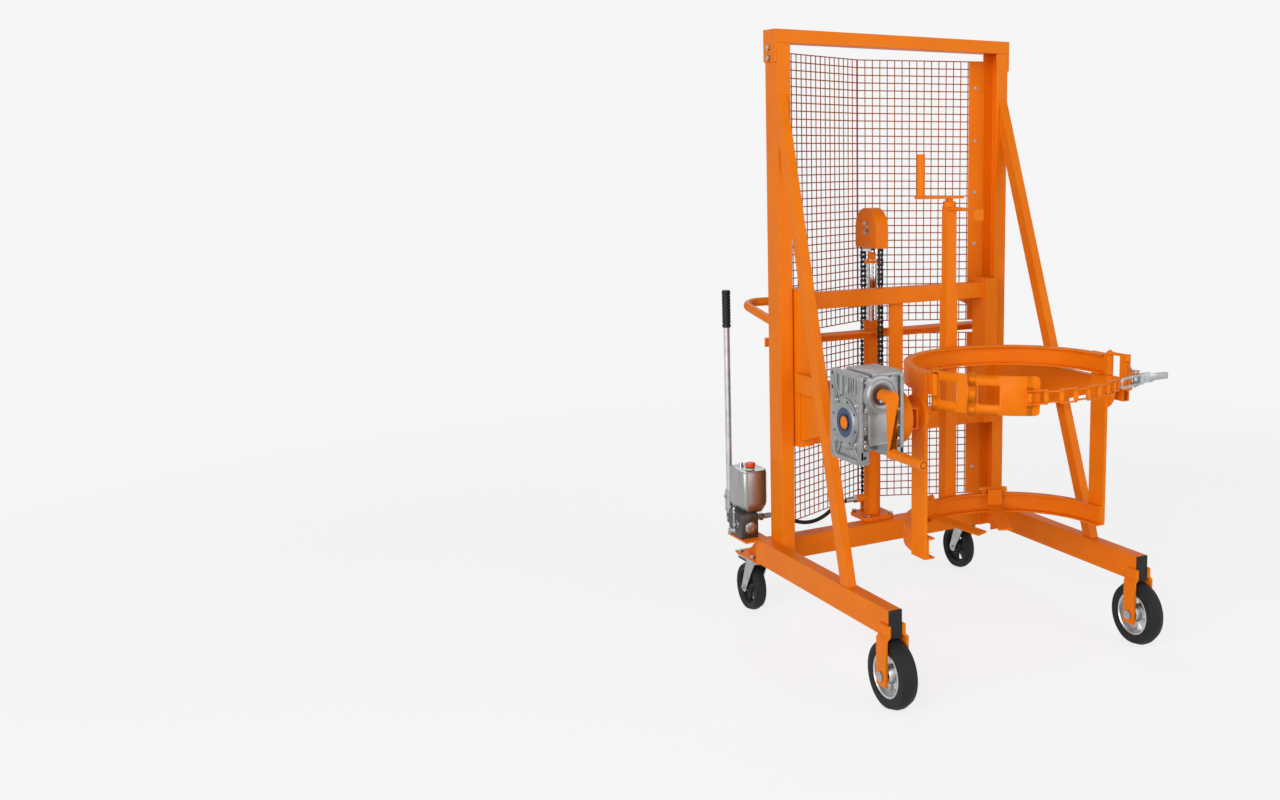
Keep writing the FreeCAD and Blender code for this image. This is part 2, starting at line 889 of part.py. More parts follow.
def mesh_panel(start, end, outward, low, high):
    """A net of wires as one holed sheet, on the outer side of its strip."""
    width = (end - start).Length
    along = end - start
    along.normalize()
    base = start + outward * S.guard_thick
    columns = max(1, round(width / S.mesh_cell))
    rows = max(1, round((high - low) / S.mesh_cell))

    def frame(left, right, bottom, top):
        corners = [(left, bottom), (right, bottom), (right, top), (left, top), (left, bottom)]
        return Part.makePolygon([base + along * across + vec(0, 0, up) for across, up in corners])

    wires = [frame(0, width, low, high)]
    wire = S.mesh_wire
    step_across = (width - wire) / columns
    step_up = (high - low - wire) / rows
    for column in range(columns):
        for row in range(rows):
            left = wire + column * step_across
            bottom = low + wire + row * step_up
            wires.append(frame(left, left + step_across - wire, bottom, bottom + step_up - wire))
    face = Part.makeFace(wires, "Part::FaceMakerBullseye")
    return face.extrude(outward * S.guard_thick)


def guard():
    heights = ((S.guard_low, S.guard_low_top), (S.guard_high, S.guard_high_top))
    strips = []
    nets = []
    for low, high in heights:
        for start, end, outward in guard_panels():
            along = end - start
            along.normalize()
            far = start + along * S.guard_strip
            corners = [start, far, far + outward * S.guard_thick, start + outward * S.guard_thick]
            lifted = [corner + vec(0, 0, low) for corner in corners]
            strips.append(shaped(prism(lifted, vec(0, 0, high - low))))
        nets += [shaped(mesh_panel(*panel, low, high)) for panel in guard_panels()]
    node("guard_strips", group(*strips))
    node("mesh_guard", group(*nets))


# Hydraulics and chain lift

def lift_cylinder():
    corners = [
        ("base_half", "base_flat"), ("base_flat", "base_half"),
        ("-base_flat", "base_half"), ("-base_half", "base_flat"),
        ("-base_half", "-base_flat"), ("-base_flat", "-base_half"),
        ("base_flat", "-base_half"), ("base_half", "-base_flat"),
    ]
    base_top = f"{CROSS_TOP} + base_thick"
    base = padded("XY_Plane", corners, "base_thick", ("0", "lift_y", CROSS_TOP))
    tube = rod("z", ("0", "lift_y", base_top), "tube_radius", f"tube_top - ({base_top})")
    gland = rod("z", ("0", "lift_y", "tube_top"), "gland_radius", "gland_height")
    port_start = ("-tube_radius - port_length", "lift_y", "port_height")
    port = rod("x", port_start, "port_radius", "port_length + tube_radius")
    lug_y = around("lift_y + chain_pitch_radius", "chain_depth / 2")
    lug = box(("-chain_lug_half", "chain_lug_half"), lug_y, (base_top, f"{base_top} + chain_lug_height"))
    floor = f"{base_top} + tube_floor"
    bore = rod("z", ("0", "lift_y", floor), "tube_bore", f"tube_top - ({floor})")
    throat_length = f"tube_top + gland_height + overrun - ({floor})"
    throat = rod("z", ("0", "lift_y", floor), "ram_radius + run_gap", throat_length)
    node("lift_cylinder", minus(union(base, tube, gland, port, lug), bore, throat))
    ram = rod("z", ("0", "lift_y", "ram_low"), "ram_radius", "ram_top - ram_low")
    piston = rod("z", ("0", "lift_y", "ram_low"), "tube_bore - run_gap", "piston_height")
    collar = rod("z", ("0", "lift_y", "ram_top"), "collar_radius", "collar_height")
    neck = rod("z", ("0", "lift_y", "ram_top + collar_height"), "neck_radius", "neck_height")
    clevis_low = "ram_top + collar_height + neck_height"
    inner_half = "housing_half - housing_wall"
    clevis_x = (f"-({inner_half})", inner_half)
    clevis_z = (clevis_low, f"{clevis_low} + clevis_height")
    clevis = box(clevis_x, around("lift_y", "clevis_depth"), clevis_z)
    node("ram_rod", union(ram, piston, collar, neck, clevis))


def sheave_set():
    axis = ("lift_y", "sheave_height")

    def rounded_block(half, radius, low):
        arch = rod("x", (f"-({half})", *axis), radius, f"2 * ({half})")
        return union(arch, box((f"-({half})", half), around("lift_y", radius), (low, "sheave_height")))

    shell = rounded_block("housing_half", "housing_radius", "housing_bottom")
    hollow_half = "housing_half - housing_wall"
    inside = rounded_block(hollow_half, "housing_radius - housing_wall", "housing_bottom - overrun")
    axle = rod("x", ("-housing_half - bolt_head", *axis), "sheave_axle", "2 * (housing_half + bolt_head)")
    heads = []
    for start in ("-housing_half - bolt_head", "housing_half"):
        heads.append(hexagon("x", (start, *axis), "sheave_axle * 2", "bolt_head"))
    node("sheave_housing", union(minus(shell, inside), axle, *heads))
    drum = rod("x", ("-sheave_half", *axis), "sheave_root", "2 * sheave_half")
    rims = []
    for start in ("-sheave_half", "sheave_half - sheave_flange"):
        rims.append(rod("x", (start, *axis), "sheave_rim", "sheave_flange"))
    bore_start = ("-sheave_half - overrun", *axis)
    bore = rod("x", bore_start, "sheave_axle + run_gap", "2 * (sheave_half + overrun)")
    node("sheave", minus(union(drum, *rims), bore))
    strand_x = ("-chain_half", "chain_half")
    front_y = around("lift_y - chain_pitch_radius", "chain_depth / 2")
    node("front_chain", box(strand_x, front_y, ("anchor_low + anchor_height", "sheave_height")))
    rear_y = around("lift_y + chain_pitch_radius", "chain_depth / 2")
    rear_low = f"{CROSS_TOP} + base_thick + chain_lug_height"
    node("rear_chain", box(strand_x, rear_y, (rear_low, "sheave_height")))


def pump():
    block_x = mirrored(-1, "pump_in", "pump_out")
    block = box(block_x, ("pump_front", "pump_back"), (LEG_TOP, "pump_top"))
    union_stub = rod("x", ("-pump_in", "union_y", "port_height"), "union_radius", "union_length")
    ears = []
    pin_back = "lever_pivot_y + lever_eye"
    for sign in (-1, 1):
        inner = "lever_eye_half + lever_ear_gap"
        span = mirrored(sign, inner, f"{inner} + lever_ear")
        ear_x = (f"-lever_x + ({span[0]})", f"-lever_x + ({span[1]})")
        ears.append(box(ear_x, ("pump_back", pin_back), around("lever_pivot_z", "lever_eye")))
    pin_half = "lever_eye_half + lever_ear_gap + lever_ear"
    pin_start = (f"-lever_x - ({pin_half})", "lever_pivot_y", "lever_pivot_z")
    pin = rod("x", pin_start, "lever_pin", f"2 * ({pin_half})")
    node("pump_block", union(block, union_stub, pin, *ears))
    tank_low = box(
        grown(mirrored(-1, "tank_in", "tank_out"), "-tank_chamfer"),
        grown(("pump_front", "tank_back"), "-tank_chamfer"),
        ("pump_top", "pump_top + tank_chamfer"),
    )
    tank_z = ("pump_top + tank_chamfer", "tank_top")
    tank = box(mirrored(-1, "tank_in", "tank_out"), ("pump_front", "tank_back"), tank_z)
    breather = rod("z", ("-breather_x", "breather_y", "tank_top"), "breather_radius", "breather_height")
    node("oil_tank", union(tank_low, tank, breather))
    node("filler_cap", rod("z", ("-cap_x", "cap_y", "tank_top"), "cap_radius", "cap_height"))
    lever()
    boss_x = "-pump_out - release_boss_length"
    boss = rod("x", (boss_x, "release_y", "release_z"), "release_boss", "release_boss_length")
    arm_x = (f"{boss_x} - release_arm", boss_x)
    plate = rod("x", (arm_x[0], "release_y", "release_z"), "release_boss", "release_arm")
    arm = box(arm_x, around("release_y", "release_arm_half"), ("release_z", "release_z + release_length"))
    node("release_lever", union(boss, plate, arm))


def lever():
    axis = ("lever_pivot_y", "lever_pivot_z")
    eye = rod("x", ("-lever_x - lever_eye_half", *axis), "lever_eye", "2 * lever_eye_half")
    bore = rod("x", ("-lever_x - lever_ear_gap - lever_eye_half", *axis), "lever_pin + run_gap",
               "2 * (lever_eye_half + lever_ear_gap)")
    tube_y = "lever_pivot_y + lever_set_back"
    web_x = around("-lever_x", "lever_eye_half")
    socket_low = "lever_pivot_z + lever_eye * 2"
    web = box(web_x, ("lever_pivot_y", f"{tube_y} + lever_eye_half"), ("lever_pivot_z", socket_low))
    socket_length = f"lever_socket_top - ({socket_low})"
    socket = rod("z", ("-lever_x", tube_y, socket_low), "lever_socket", socket_length)
    tube_start = ("-lever_x", tube_y, "lever_socket_top")
    tube = rod("z", tube_start, "lever_tube", "lever_tube_top - lever_socket_top")
    grip = rod("z", ("-lever_x", tube_y, "lever_tube_top"), "grip_radius", "grip_top - lever_tube_top")
    node("pump_lever", union(minus(union(eye, web), bore), socket, tube, grip))


# Places that the hose passes, chosen by hand
HOSE_POINTS = [
    (-438, 145, 345),
    (-372, 145, 345),
    (-288, 143, 297),
    (-205, 150, 300),
    (-130, 168, 345),
    (-64, 168, 345),
]
BEND_SHARE = 0.45


def hose():
    points = [vec(*point) for point in HOSE_POINTS]
    radii = []
    for before, corner, after in zip(points, points[1:], points[2:]):
        back = before - corner
        ahead = after - corner
        turn = math.pi - back.getAngle(ahead)
        radii.append(BEND_SHARE * min(back.Length, ahead.Length) / math.tan(turn / 2))
    print("hose radii", [round(radius) for radius in radii])
    node("hydraulic_hose", shaped(swept(points, radii, S.hose_radius)))


# Carriage

def carriage():
    pieces = []
    for side in SIDES.values():
        x = mirrored(side, "upright_in", "upright_in + upright_width")
        pieces.append(box(x, UPRIGHT_Y, ("carriage_low", "carriage_top + upright_cap")))
        for height in ("roller_up", "roller_down"):
            low = mirrored(side, "upright_in + upright_width", "roller_in + roller_width + run_gap")[0]
            length = "roller_in + roller_width + run_gap - upright_in - upright_width"
            pieces.append(rod("x", (low, "post_depth / 2", height), "roller_stub", length))
    beam_x = ("-upright_in", "upright_in")
    beam_y = ("-beam_front", "beam_depth - beam_front")
    pieces.append(hollow(beam_x, beam_y, ("carriage_low", "carriage_low + lower_beam"), "beam_wall", "x"))
    upper_z = ("upper_beam_low", "upper_beam_low + upper_beam")
    pieces.append(hollow(beam_x, beam_y, upper_z, "beam_wall", "x"))
    flat_y = ("flat_front", "flat_front + flat_thick")
    pieces.append(box(("-flat_half", "flat_half"), flat_y, ("carriage_low + lower_beam", "upper_beam_low")))
    anchor_back = "lift_y - chain_pitch_radius + chain_depth / 2 + anchor_margin"
    anchor_z = ("anchor_low", "anchor_low + anchor_height")
    pieces.append(box(("-anchor_half", "anchor_half"), ("beam_depth - beam_front", anchor_back), anchor_z))
    node("carriage_frame", union(*pieces))
    for label, height in (("upper_rollers", "roller_up"), ("lower_rollers", "roller_down")):
        node(label, group(*[roller(side, height) for side in SIDES.values()]))


def roller(side, height):
    low = mirrored(side, "roller_in", "roller_in + roller_width")[0]
    disc = rod("x", (low, "post_depth / 2", height), "roller_radius", "roller_width")
    bore_start = (f"{low} - overrun", "post_depth / 2", height)
    bore = rod("x", bore_start, "roller_stub + run_gap", "roller_width + 2 * overrun")
    return minus(disc, bore)


def arms():
    arm_z = around("tilt_height", "arm_height / 2")
    for name, side in SIDES.items():
        x = mirrored(side, "arm_in", "arm_in + arm_width")
        arm_y = ("-arm_reach", "-upright_front")
        tube = hollow(x, arm_y, arm_z, "arm_wall", "y")
        gusset_x = mirrored(side, "arm_in", "arm_in + gusset_thick")[0]
        corners = [("", ""), ("-gusset_length", ""), ("", "-gusset_depth")]
        plate_start = (gusset_x, "-upright_front", "tilt_height - arm_height / 2")
        gusset = padded("YZ_Plane", corners, "gusset_thick", plate_start)
        sleeve = rod("x", (x[0], TILT_Y, "tilt_height"), "(arm_height - arm_wall) / 2", "arm_width")
        if side < 0:
            boss_start = ("-gear_in", TILT_Y, "tilt_height")
            boss = rod("x", boss_start, "adapter_radius", "gear_in - arm_in - arm_width")
            bore = "shaft_radius + run_gap"
        else:
            boss_start = ("arm_in + arm_width", TILT_Y, "tilt_height")
            boss = rod("x", boss_start, "bearing_radius", "bearing_thick")
            bore = "pin_radius + run_gap"
        drill_low = mirrored(side, "arm_in - overrun", "gear_in + overrun")[0]
        drill = rod("x", (drill_low, TILT_Y, "tilt_height"), bore, "gear_in - arm_in + 2 * overrun")
        node(f"{name}_arm", minus(union(tube, gusset, boss, sleeve), drill))


def gearbox():
    shell_x = ("-gear_out", "-gear_in")
    shell_y = ("-gear_front", "-gear_rear")
    shell_z = ("gear_low", "gear_high")
    case = box(shell_x, shell_y, shell_z)
    cover = rod("x", ("-gear_out - gear_cover", TILT_Y, "tilt_height"), "cover_radius", "gear_cover")
    boss_start = ("-input_x", "-gear_front - input_boss_length", "input_height")
    boss = rod("y", boss_start, "input_boss", "input_boss_length")
    cavity = box(*[grown(span, "-gear_wall") for span in (shell_x, shell_y, shell_z)])
    through = "gear_out + gear_cover - gear_in + 2 * overrun"
    output_start = ("-gear_out - gear_cover - overrun", TILT_Y, "tilt_height")
    output = rod("x", output_start, "shaft_radius + run_gap", through)
    drill_start = ("-input_x", "-gear_front - input_boss_length - overrun", "input_height")
    drill_length = "gear_front + input_boss_length + overrun - gear_rear - gear_wall / 2"
    drill = rod("y", drill_start, "worm_shaft + run_gap", drill_length)
    node("gearbox_housing", minus(union(case, cover, boss), cavity, output, drill))
    gear_middle = "-(gear_in + gear_out) / 2"
    wheel_start = (f"{gear_middle} - wheel_gear_half", TILT_Y, "tilt_height")
    wheel = rod("x", wheel_start, "wheel_gear", "2 * wheel_gear_half")
    wheel_bore_start = (f"{gear_middle} - wheel_gear_half - overrun", TILT_Y, "tilt_height")
    wheel_bore = rod("x", wheel_bore_start, "shaft_radius + run_gap", "2 * (wheel_gear_half + overrun)")
    node("worm_wheel", minus(wheel, wheel_bore))
    shaft_length = "crank_front - gear_rear - gear_wall / 2 - seat_gap - crank_thick"
    shaft = rod("y", ("-input_x", "-crank_front + crank_thick", "input_height"), "worm_shaft", shaft_length)
    worm_start = ("-input_x", "-tilt_forward - worm_half", "input_height")
    worm = rod("y", worm_start, "worm_radius", "2 * worm_half")
    node("worm_shaft", union(shaft, worm))
    hand_crank()


def hand_crank():
    sleeve_length = "crank_front - crank_thick - gear_front - input_boss_length - crank_gap"
    sleeve_start = ("-input_x", "-crank_front + crank_thick", "input_height")
    sleeve = rod("y", sleeve_start, "crank_sleeve", sleeve_length)
    bore = rod("y", sleeve_start, "worm_shaft + run_gap", f"{sleeve_length} + overrun")
    corners = [("crank_top_half", ""), ("crank_low_half", "-crank_arm"), ("-crank_low_half", "-crank_arm"),
               ("-crank_top_half", "")]
    arm = padded("XZ_Plane", corners, "crank_thick", sleeve_start)
    top_eye = rod("y", ("-input_x", "-crank_front", "input_height"), "crank_sleeve", "crank_thick")
    grip_z = "input_height - crank_arm"
    low_eye = rod("y", ("-input_x", "-crank_front", grip_z), "crank_eye", "crank_thick")
    grip_start = ("-input_x", "-crank_front - crank_grip_length", grip_z)
    grip = rod("y", grip_start, "crank_grip", "crank_grip_length")
    node("hand_crank", union(minus(sleeve, bore), arm, top_eye, low_eye, grip))


# Clamp

def ring(low):
    """A half ring of channel with straight ends towards the front."""
    high = f"{low} + ring_height"
    start = ("0", TILT_Y, low)
    groove_start = ("0", TILT_Y, f"{low} + ring_flange")
    rim = rod("z", start, "ring_out", "ring_height", HALF_TURN)
    hole = rod("z", ("0", TILT_Y, f"{low} - overrun"), "ring_in", "ring_height + 2 * overrun")
    groove = rod("z", groove_start, "ring_out - ring_web", "ring_height - 2 * ring_flange")
    ends = []
    for side in SIDES.values():
        end_y = ("-tilt_forward - ring_end", TILT_Y)
        end = box(mirrored(side, "ring_in", "ring_out"), end_y, (low, high))
        slot_x = mirrored(side, "ring_in - overrun", "ring_out - ring_web")
        slot = box(slot_x, grown(end_y, "overrun"), grown((low, high), "-ring_flange"))
        ends.append(minus(end, slot))
    return union(minus(rim, hole, groove), *ends)


def barrel_place(side):
    return (f"{side} * barrel_x", "-tilt_forward - barrel_forward")


def rings():
    knuckles = []
    for side in SIDES.values():
        x, y = barrel_place(side)
        knuckles.append(rod("z", (x, y, "upper_ring_low"), "barrel_radius", "ring_height"))
        knuckles.append(rod("z", (x, y, "barrel_low"), "barrel_pin", "barrel_high - barrel_low"))
        lug_x = mirrored(side, "ring_out - ring_web - barrel_radius / 2", "ring_out")
        lug_y = ("-tilt_forward - barrel_forward", "-tilt_forward - ring_end")
        knuckles.append(box(lug_x, lug_y, ("upper_ring_low", "upper_ring_low + ring_height")))
    node("upper_ring", union(ring("upper_ring_low"), *knuckles))
    lugs = [shaped(foot_lugs(angle)) for angle in FOOT_ANGLES.values()]
    node("lower_ring", union(ring("lower_ring_low"), *lugs))


def foot_axis(angle):
    """The middle of a foot's pin and the direction along it."""
    turn = math.radians(angle)
    height = S.lower_ring_low + S.ring_height + S.foot_lift
    return on_ring(S.foot_radius, angle, height), vec(-math.sin(turn), math.cos(turn), 0)


def foot_lugs(angle):
    """Two lugs on the ring with the pin of one foot between them."""
    middle, along = foot_axis(angle)
    inward = on_ring(-1, angle, 0) - on_ring(0, angle, 0)
    bottom = vec(0, 0, S.lower_ring_low + S.ring_height - middle.z)
    near = S.foot_wide / 2 + S.foot_side_gap
    far = near + S.foot_lug
    pin = solid_rod(middle - along * far, middle + along * far, S.foot_pin)
    shape = pin
    for sign in (-1, 1):
        start = middle + along * (sign * near)
        sides = [inward * S.foot_barrel, inward * -S.foot_barrel]
        corners = [start + sides[0] + bottom, start + sides[1] + bottom, start + sides[1], start + sides[0]]
        shape = shape.fuse(prism(corners, along * (sign * S.foot_lug)))
        shape = shape.fuse(solid_rod(start, middle + along * (sign * far), S.foot_barrel))
    return shape


def feet():
    for label, angle in FOOT_ANGLES.items():
        middle, along = foot_axis(angle)
        half = S.foot_wide / 2
        start = along * -half
        points = [
            middle + start,
            on_ring(S.foot_strap, angle, middle.z) + start,
            on_ring(S.foot_strap, angle, S.foot_knee) + start,
            on_ring(S.foot_tip_radius, angle, S.foot_tip) + start,
        ]
        plate = bent_flat(points, S.foot_thick, along * S.foot_wide)
        barrel = solid_rod(middle + start, middle - start, S.foot_barrel)
        bore = solid_rod(middle + start * 2, middle - start * 2, S.foot_pin + S.run_gap)
        node(label, shaped(plate.fuse(barrel).cut(bore)))


def side_bars():
    bar_y = around("-tilt_forward + seat_gap", "side_bar_wide / 2")
    bar_z = ("lower_ring_low", "upper_ring_low + ring_height")
    for name, side in SIDES.items():
        bar_in = "ring_out + seat_gap"
        bar_out = f"{bar_in} + side_bar_thick"
        bar = box(mirrored(side, bar_in, bar_out), bar_y, bar_z)
        flange_out = f"{bar_out} + trunnion_thick"
        flange_x = mirrored(side, bar_out, flange_out)
        flange = rod("x", (flange_x[0], TILT_Y, "tilt_height"), "trunnion_radius", "trunnion_thick")
        if side < 0:
            hub_x = mirrored(side, flange_out, "arm_in - hub_gap")
            shaft_x = mirrored(side, "arm_in - hub_gap", "gear_out + gear_cover - seat_gap")
            radius = "shaft_radius"
        else:
            hub_x = mirrored(side, flange_out, "arm_in - hub_gap")
            shaft_x = mirrored(side, "arm_in - hub_gap", "arm_in + arm_width + pin_end")
            radius = "pin_radius"
        hub = rod("x", (hub_x[0], TILT_Y, "tilt_height"), "hub_radius", f"({hub_x[1]}) - ({hub_x[0]})")
        shaft = rod("x", (shaft_x[0], TILT_Y, "tilt_height"), radius, f"({shaft_x[1]}) - ({shaft_x[0]})")
        node(f"{name}_side_bar", union(bar, flange, hub, shaft))


def hook_post():
    half = "post_tube / 2"
    tube_z = ("lower_ring_low", "post_tube_top")
    tube = hollow(around("0", half), around(POST_TUBE_Y, half), tube_z, "post_tube_wall", "z")
    node("hook_post_tube", tube)
    bar_half = "(post_tube / 2 - post_tube_wall - seat_gap)"
    bar = box(around("0", bar_half), around(POST_TUBE_Y, bar_half), ("hook_bar_low", "hook_bar_top"))
    hook_front = f"{POST_TUBE_Y} - hook_reach"
    plate_z = ("hook_bar_top", "hook_bar_top + hook_thick")
    plate = box(around("0", bar_half), (hook_front, f"{POST_TUBE_Y} + {bar_half}"), plate_z)
    lip_z = ("hook_bar_top - hook_lip", "hook_bar_top")
    lip = box(around("0", bar_half), (hook_front, f"{hook_front} + hook_thick"), lip_z)
    collar_low = "hook_bar_top + hook_thick"
    collar = rod("z", ("0", POST_TUBE_Y, collar_low), "hook_collar", "hook_collar_height")
    well_depth = "hook_collar_height + overrun"
    well = rod("z", ("0", POST_TUBE_Y, collar_low), "hook_spindle + run_gap", well_depth)
    node("hook_bar", union(bar, plate, lip, minus(collar, well)))
    spindle_low = f"{collar_low} + seat_gap"
    arm_low = f"{collar_low} + hook_collar_height + hook_spindle_height"
    spindle = rod("z", ("0", POST_TUBE_Y, spindle_low), "hook_spindle", f"{arm_low} - ({spindle_low})")
    arm_z = (arm_low, f"{arm_low} + hook_arm_thick")
    arm = box(("-hook_arm_reach", "hook_arm_back"), around(POST_TUBE_Y, "hook_arm_half"), arm_z)
    grip_start = ("-hook_arm_reach + hook_arm_half", POST_TUBE_Y, arm_z[1])
    grip = rod("z", grip_start, "hook_grip", "hook_grip_length")
    node("hook_crank", union(spindle, arm, grip))


# Belt

def arc_plate(first, last, low, high):
    """A stretch of the belt's curved plate between two angles."""
    centre = on_ring(0, 0, low)
    half = S.belt_thick / 2
    up = vec(0, 0, 1)
    outer = Part.makeCylinder(S.belt_radius + half, high - low, centre, up, last - first)
    inner = Part.makeCylinder(S.belt_radius - half, high - low, centre, up, last - first)
    piece = outer.cut(inner)
    piece.rotate(centre, vec(0, 0, 1), first)
    return piece


def plate_directions(angle):
    """The way along the belt and the way out of it at one angle."""
    turn = math.radians(angle)
    return vec(-math.sin(turn), math.cos(turn), 0), vec(math.cos(turn), math.sin(turn), 0)


def plate_window(hinge_angle):
    """A tool that cuts a square window through a curved plate, next to the plate's hinge."""
    angle = hinge_angle + math.degrees((S.belt_trim + S.window_margin + S.window_wide / 2) / S.belt_radius)
    along, out = plate_directions(angle)
    across = along * S.window_wide
    up = vec(0, 0, S.window_tall)
    middle = on_ring(S.belt_radius - 2 * S.belt_thick, angle, (S.belt_low + S.belt_high) / 2)
    corner = middle - across * 0.5 - up * 0.5
    return prism([corner, corner + across, corner + across + up, corner + up], out * (S.belt_thick * 4))


def plate_corners():
    """Tools that round the two corners at the belt plate's free end."""
    angle = BELT_END_ANGLE - math.degrees(S.belt_corner / S.belt_radius)
    along, out = plate_directions(angle)
    through = out * (S.belt_thick * 4)
    tools = []
    for edge, sign in ((S.belt_low, 1), (S.belt_high, -1)):
        middle = on_ring(S.belt_radius - 2 * S.belt_thick, angle, edge + sign * S.belt_corner)
        across = along * (S.belt_corner + S.overrun)
        down = vec(0, 0, -sign * (S.belt_corner + S.overrun))
        square = prism([middle, middle + across, middle + across + down, middle + down], through)
        tools.append(square.cut(solid_rod(middle, middle + through, S.belt_corner)))
    return tools


def belt():
    trim = math.degrees(S.belt_trim / S.belt_radius)
    first = (-S.barrel_x, -S.tilt_forward - S.barrel_forward)
    middle = on_ring(S.belt_radius, BELT_MIDDLE_ANGLE, 0)
    second = (middle.x, middle.y)
    gap = S.knuckle_gap
    ring_top = S.upper_ring_low + S.ring_height
    pin = S.barrel_pin
    plate = arc_plate(BELT_START_ANGLE + trim, BELT_MIDDLE_ANGLE - trim, S.belt_low, S.belt_high)
    for low, high in ((S.barrel_low, S.upper_ring_low - gap), (ring_top + gap, S.barrel_high)):
        plate = plate.fuse(arc_plate(BELT_START_ANGLE, BELT_START_ANGLE + trim, low, high))
        plate = plate.fuse(solid_rod(vec(*first, low), vec(*first, high), S.barrel_radius))
    plate = plate.cut(solid_rod(vec(*first, S.barrel_low), vec(*first, S.barrel_high), pin + S.run_gap))
    mid_low = S.middle_knuckle_low
    mid_high = S.middle_knuckle_high
    plate = plate.fuse(arc_plate(BELT_MIDDLE_ANGLE - trim, BELT_MIDDLE_ANGLE, mid_low, mid_high))
    plate = plate.fuse(solid_rod(vec(*second, mid_low), vec(*second, mid_high), S.barrel_radius))
    plate = plate.fuse(solid_rod(vec(*second, S.barrel_low), vec(*second, S.barrel_high), pin))
    node("belt_link_inner", shaped(plate.cut(plate_window(BELT_START_ANGLE))))
    outer = arc_plate(BELT_MIDDLE_ANGLE + trim, BELT_END_ANGLE, S.belt_low, S.belt_high)
    for low, high in ((S.barrel_low, mid_low - gap), (mid_high + gap, S.barrel_high)):
        tab_low = max(low, S.belt_low)
        tab_high = min(high, S.belt_high)
        outer = outer.fuse(arc_plate(BELT_MIDDLE_ANGLE, BELT_MIDDLE_ANGLE + trim, tab_low, tab_high))
        outer = outer.fuse(solid_rod(vec(*second, low), vec(*second, high), S.barrel_radius))
    outer = outer.cut(solid_rod(vec(*second, S.barrel_low), vec(*second, S.barrel_high), pin + S.run_gap))
    outer = outer.cut(plate_window(BELT_MIDDLE_ANGLE))
    for corner_tool in plate_corners():
        outer = outer.cut(corner_tool)
    node("belt_link_outer", shaped(outer.fuse(chain_hanger())))
    belt_chain()


def chain_hanger():
    """The upright pin in front of the end plate that holds the chain, between two lugs on the plate."""
    along, out = plate_directions(BELT_CHAIN_ANGLE)
    pin = on_ring(S.belt_radius + S.belt_chain_out, BELT_CHAIN_ANGLE, 0)
    low = S.belt_chain_low - S.knuckle_gap - S.belt_lug
    high = S.belt_chain_high + S.knuckle_gap
    shape = solid_rod(pin + vec(0, 0, low), pin + vec(0, 0, high + S.belt_lug), S.latch_pin)
    side = along * S.belt_chain_rail
    root = on_ring(S.belt_radius, BELT_CHAIN_ANGLE, 0)
    for height in (low, high):
        base = vec(0, 0, height)
        corners = [root - side + base, pin - side + base, pin + side + base, root + side + base]
        shape = shape.fuse(prism(corners, vec(0, 0, S.belt_lug)))
        shape = shape.fuse(solid_rod(pin + base, pin + base + vec(0, 0, S.belt_lug), S.belt_chain_rail))
    return shape


def chain_pins():
    """The places of the belt chain's pins, from the belt plate round the drum to the latch."""
    first_radius = S.belt_radius + S.belt_chain_out
    last_radius = math.hypot(S.belt_chain_end_x, S.belt_chain_end_forward)
    last_angle = 2 * HALF_TURN - math.degrees(math.atan2(S.belt_chain_end_forward, S.belt_chain_end_x))
    places = []
    for rung in range(CHAIN_RUNGS):
        share = rung / (CHAIN_RUNGS - 1)
        angle = BELT_CHAIN_ANGLE + share * (last_angle - BELT_CHAIN_ANGLE)
        places.append(on_ring(first_radius + share * (last_radius - first_radius), angle, 0))
    return places


def belt_chain():
    """A ladder of two rails and upright pins, bent round the drum."""
    rail = S.belt_chain_rail
    places = chain_pins()
    bottom = vec(0, 0, S.belt_chain_low)
    top = vec(0, 0, S.belt_chain_high)
    shape = None
    for low in (bottom, top - vec(0, 0, rail)):
        piece = bent_flat([place + low for place in places], S.belt_chain_thick, vec(0, 0, rail))
        shape = piece if shape is None else shape.fuse(piece)
    for place in places:
        shape = shape.fuse(solid_rod(place + bottom, place + top, rail))
    drill = solid_rod(places[0], places[0] + vec(0, 0, S.post_top), S.latch_pin + S.run_gap)
    node("belt_chain", shaped(shape.cut(drill)))


# Latch

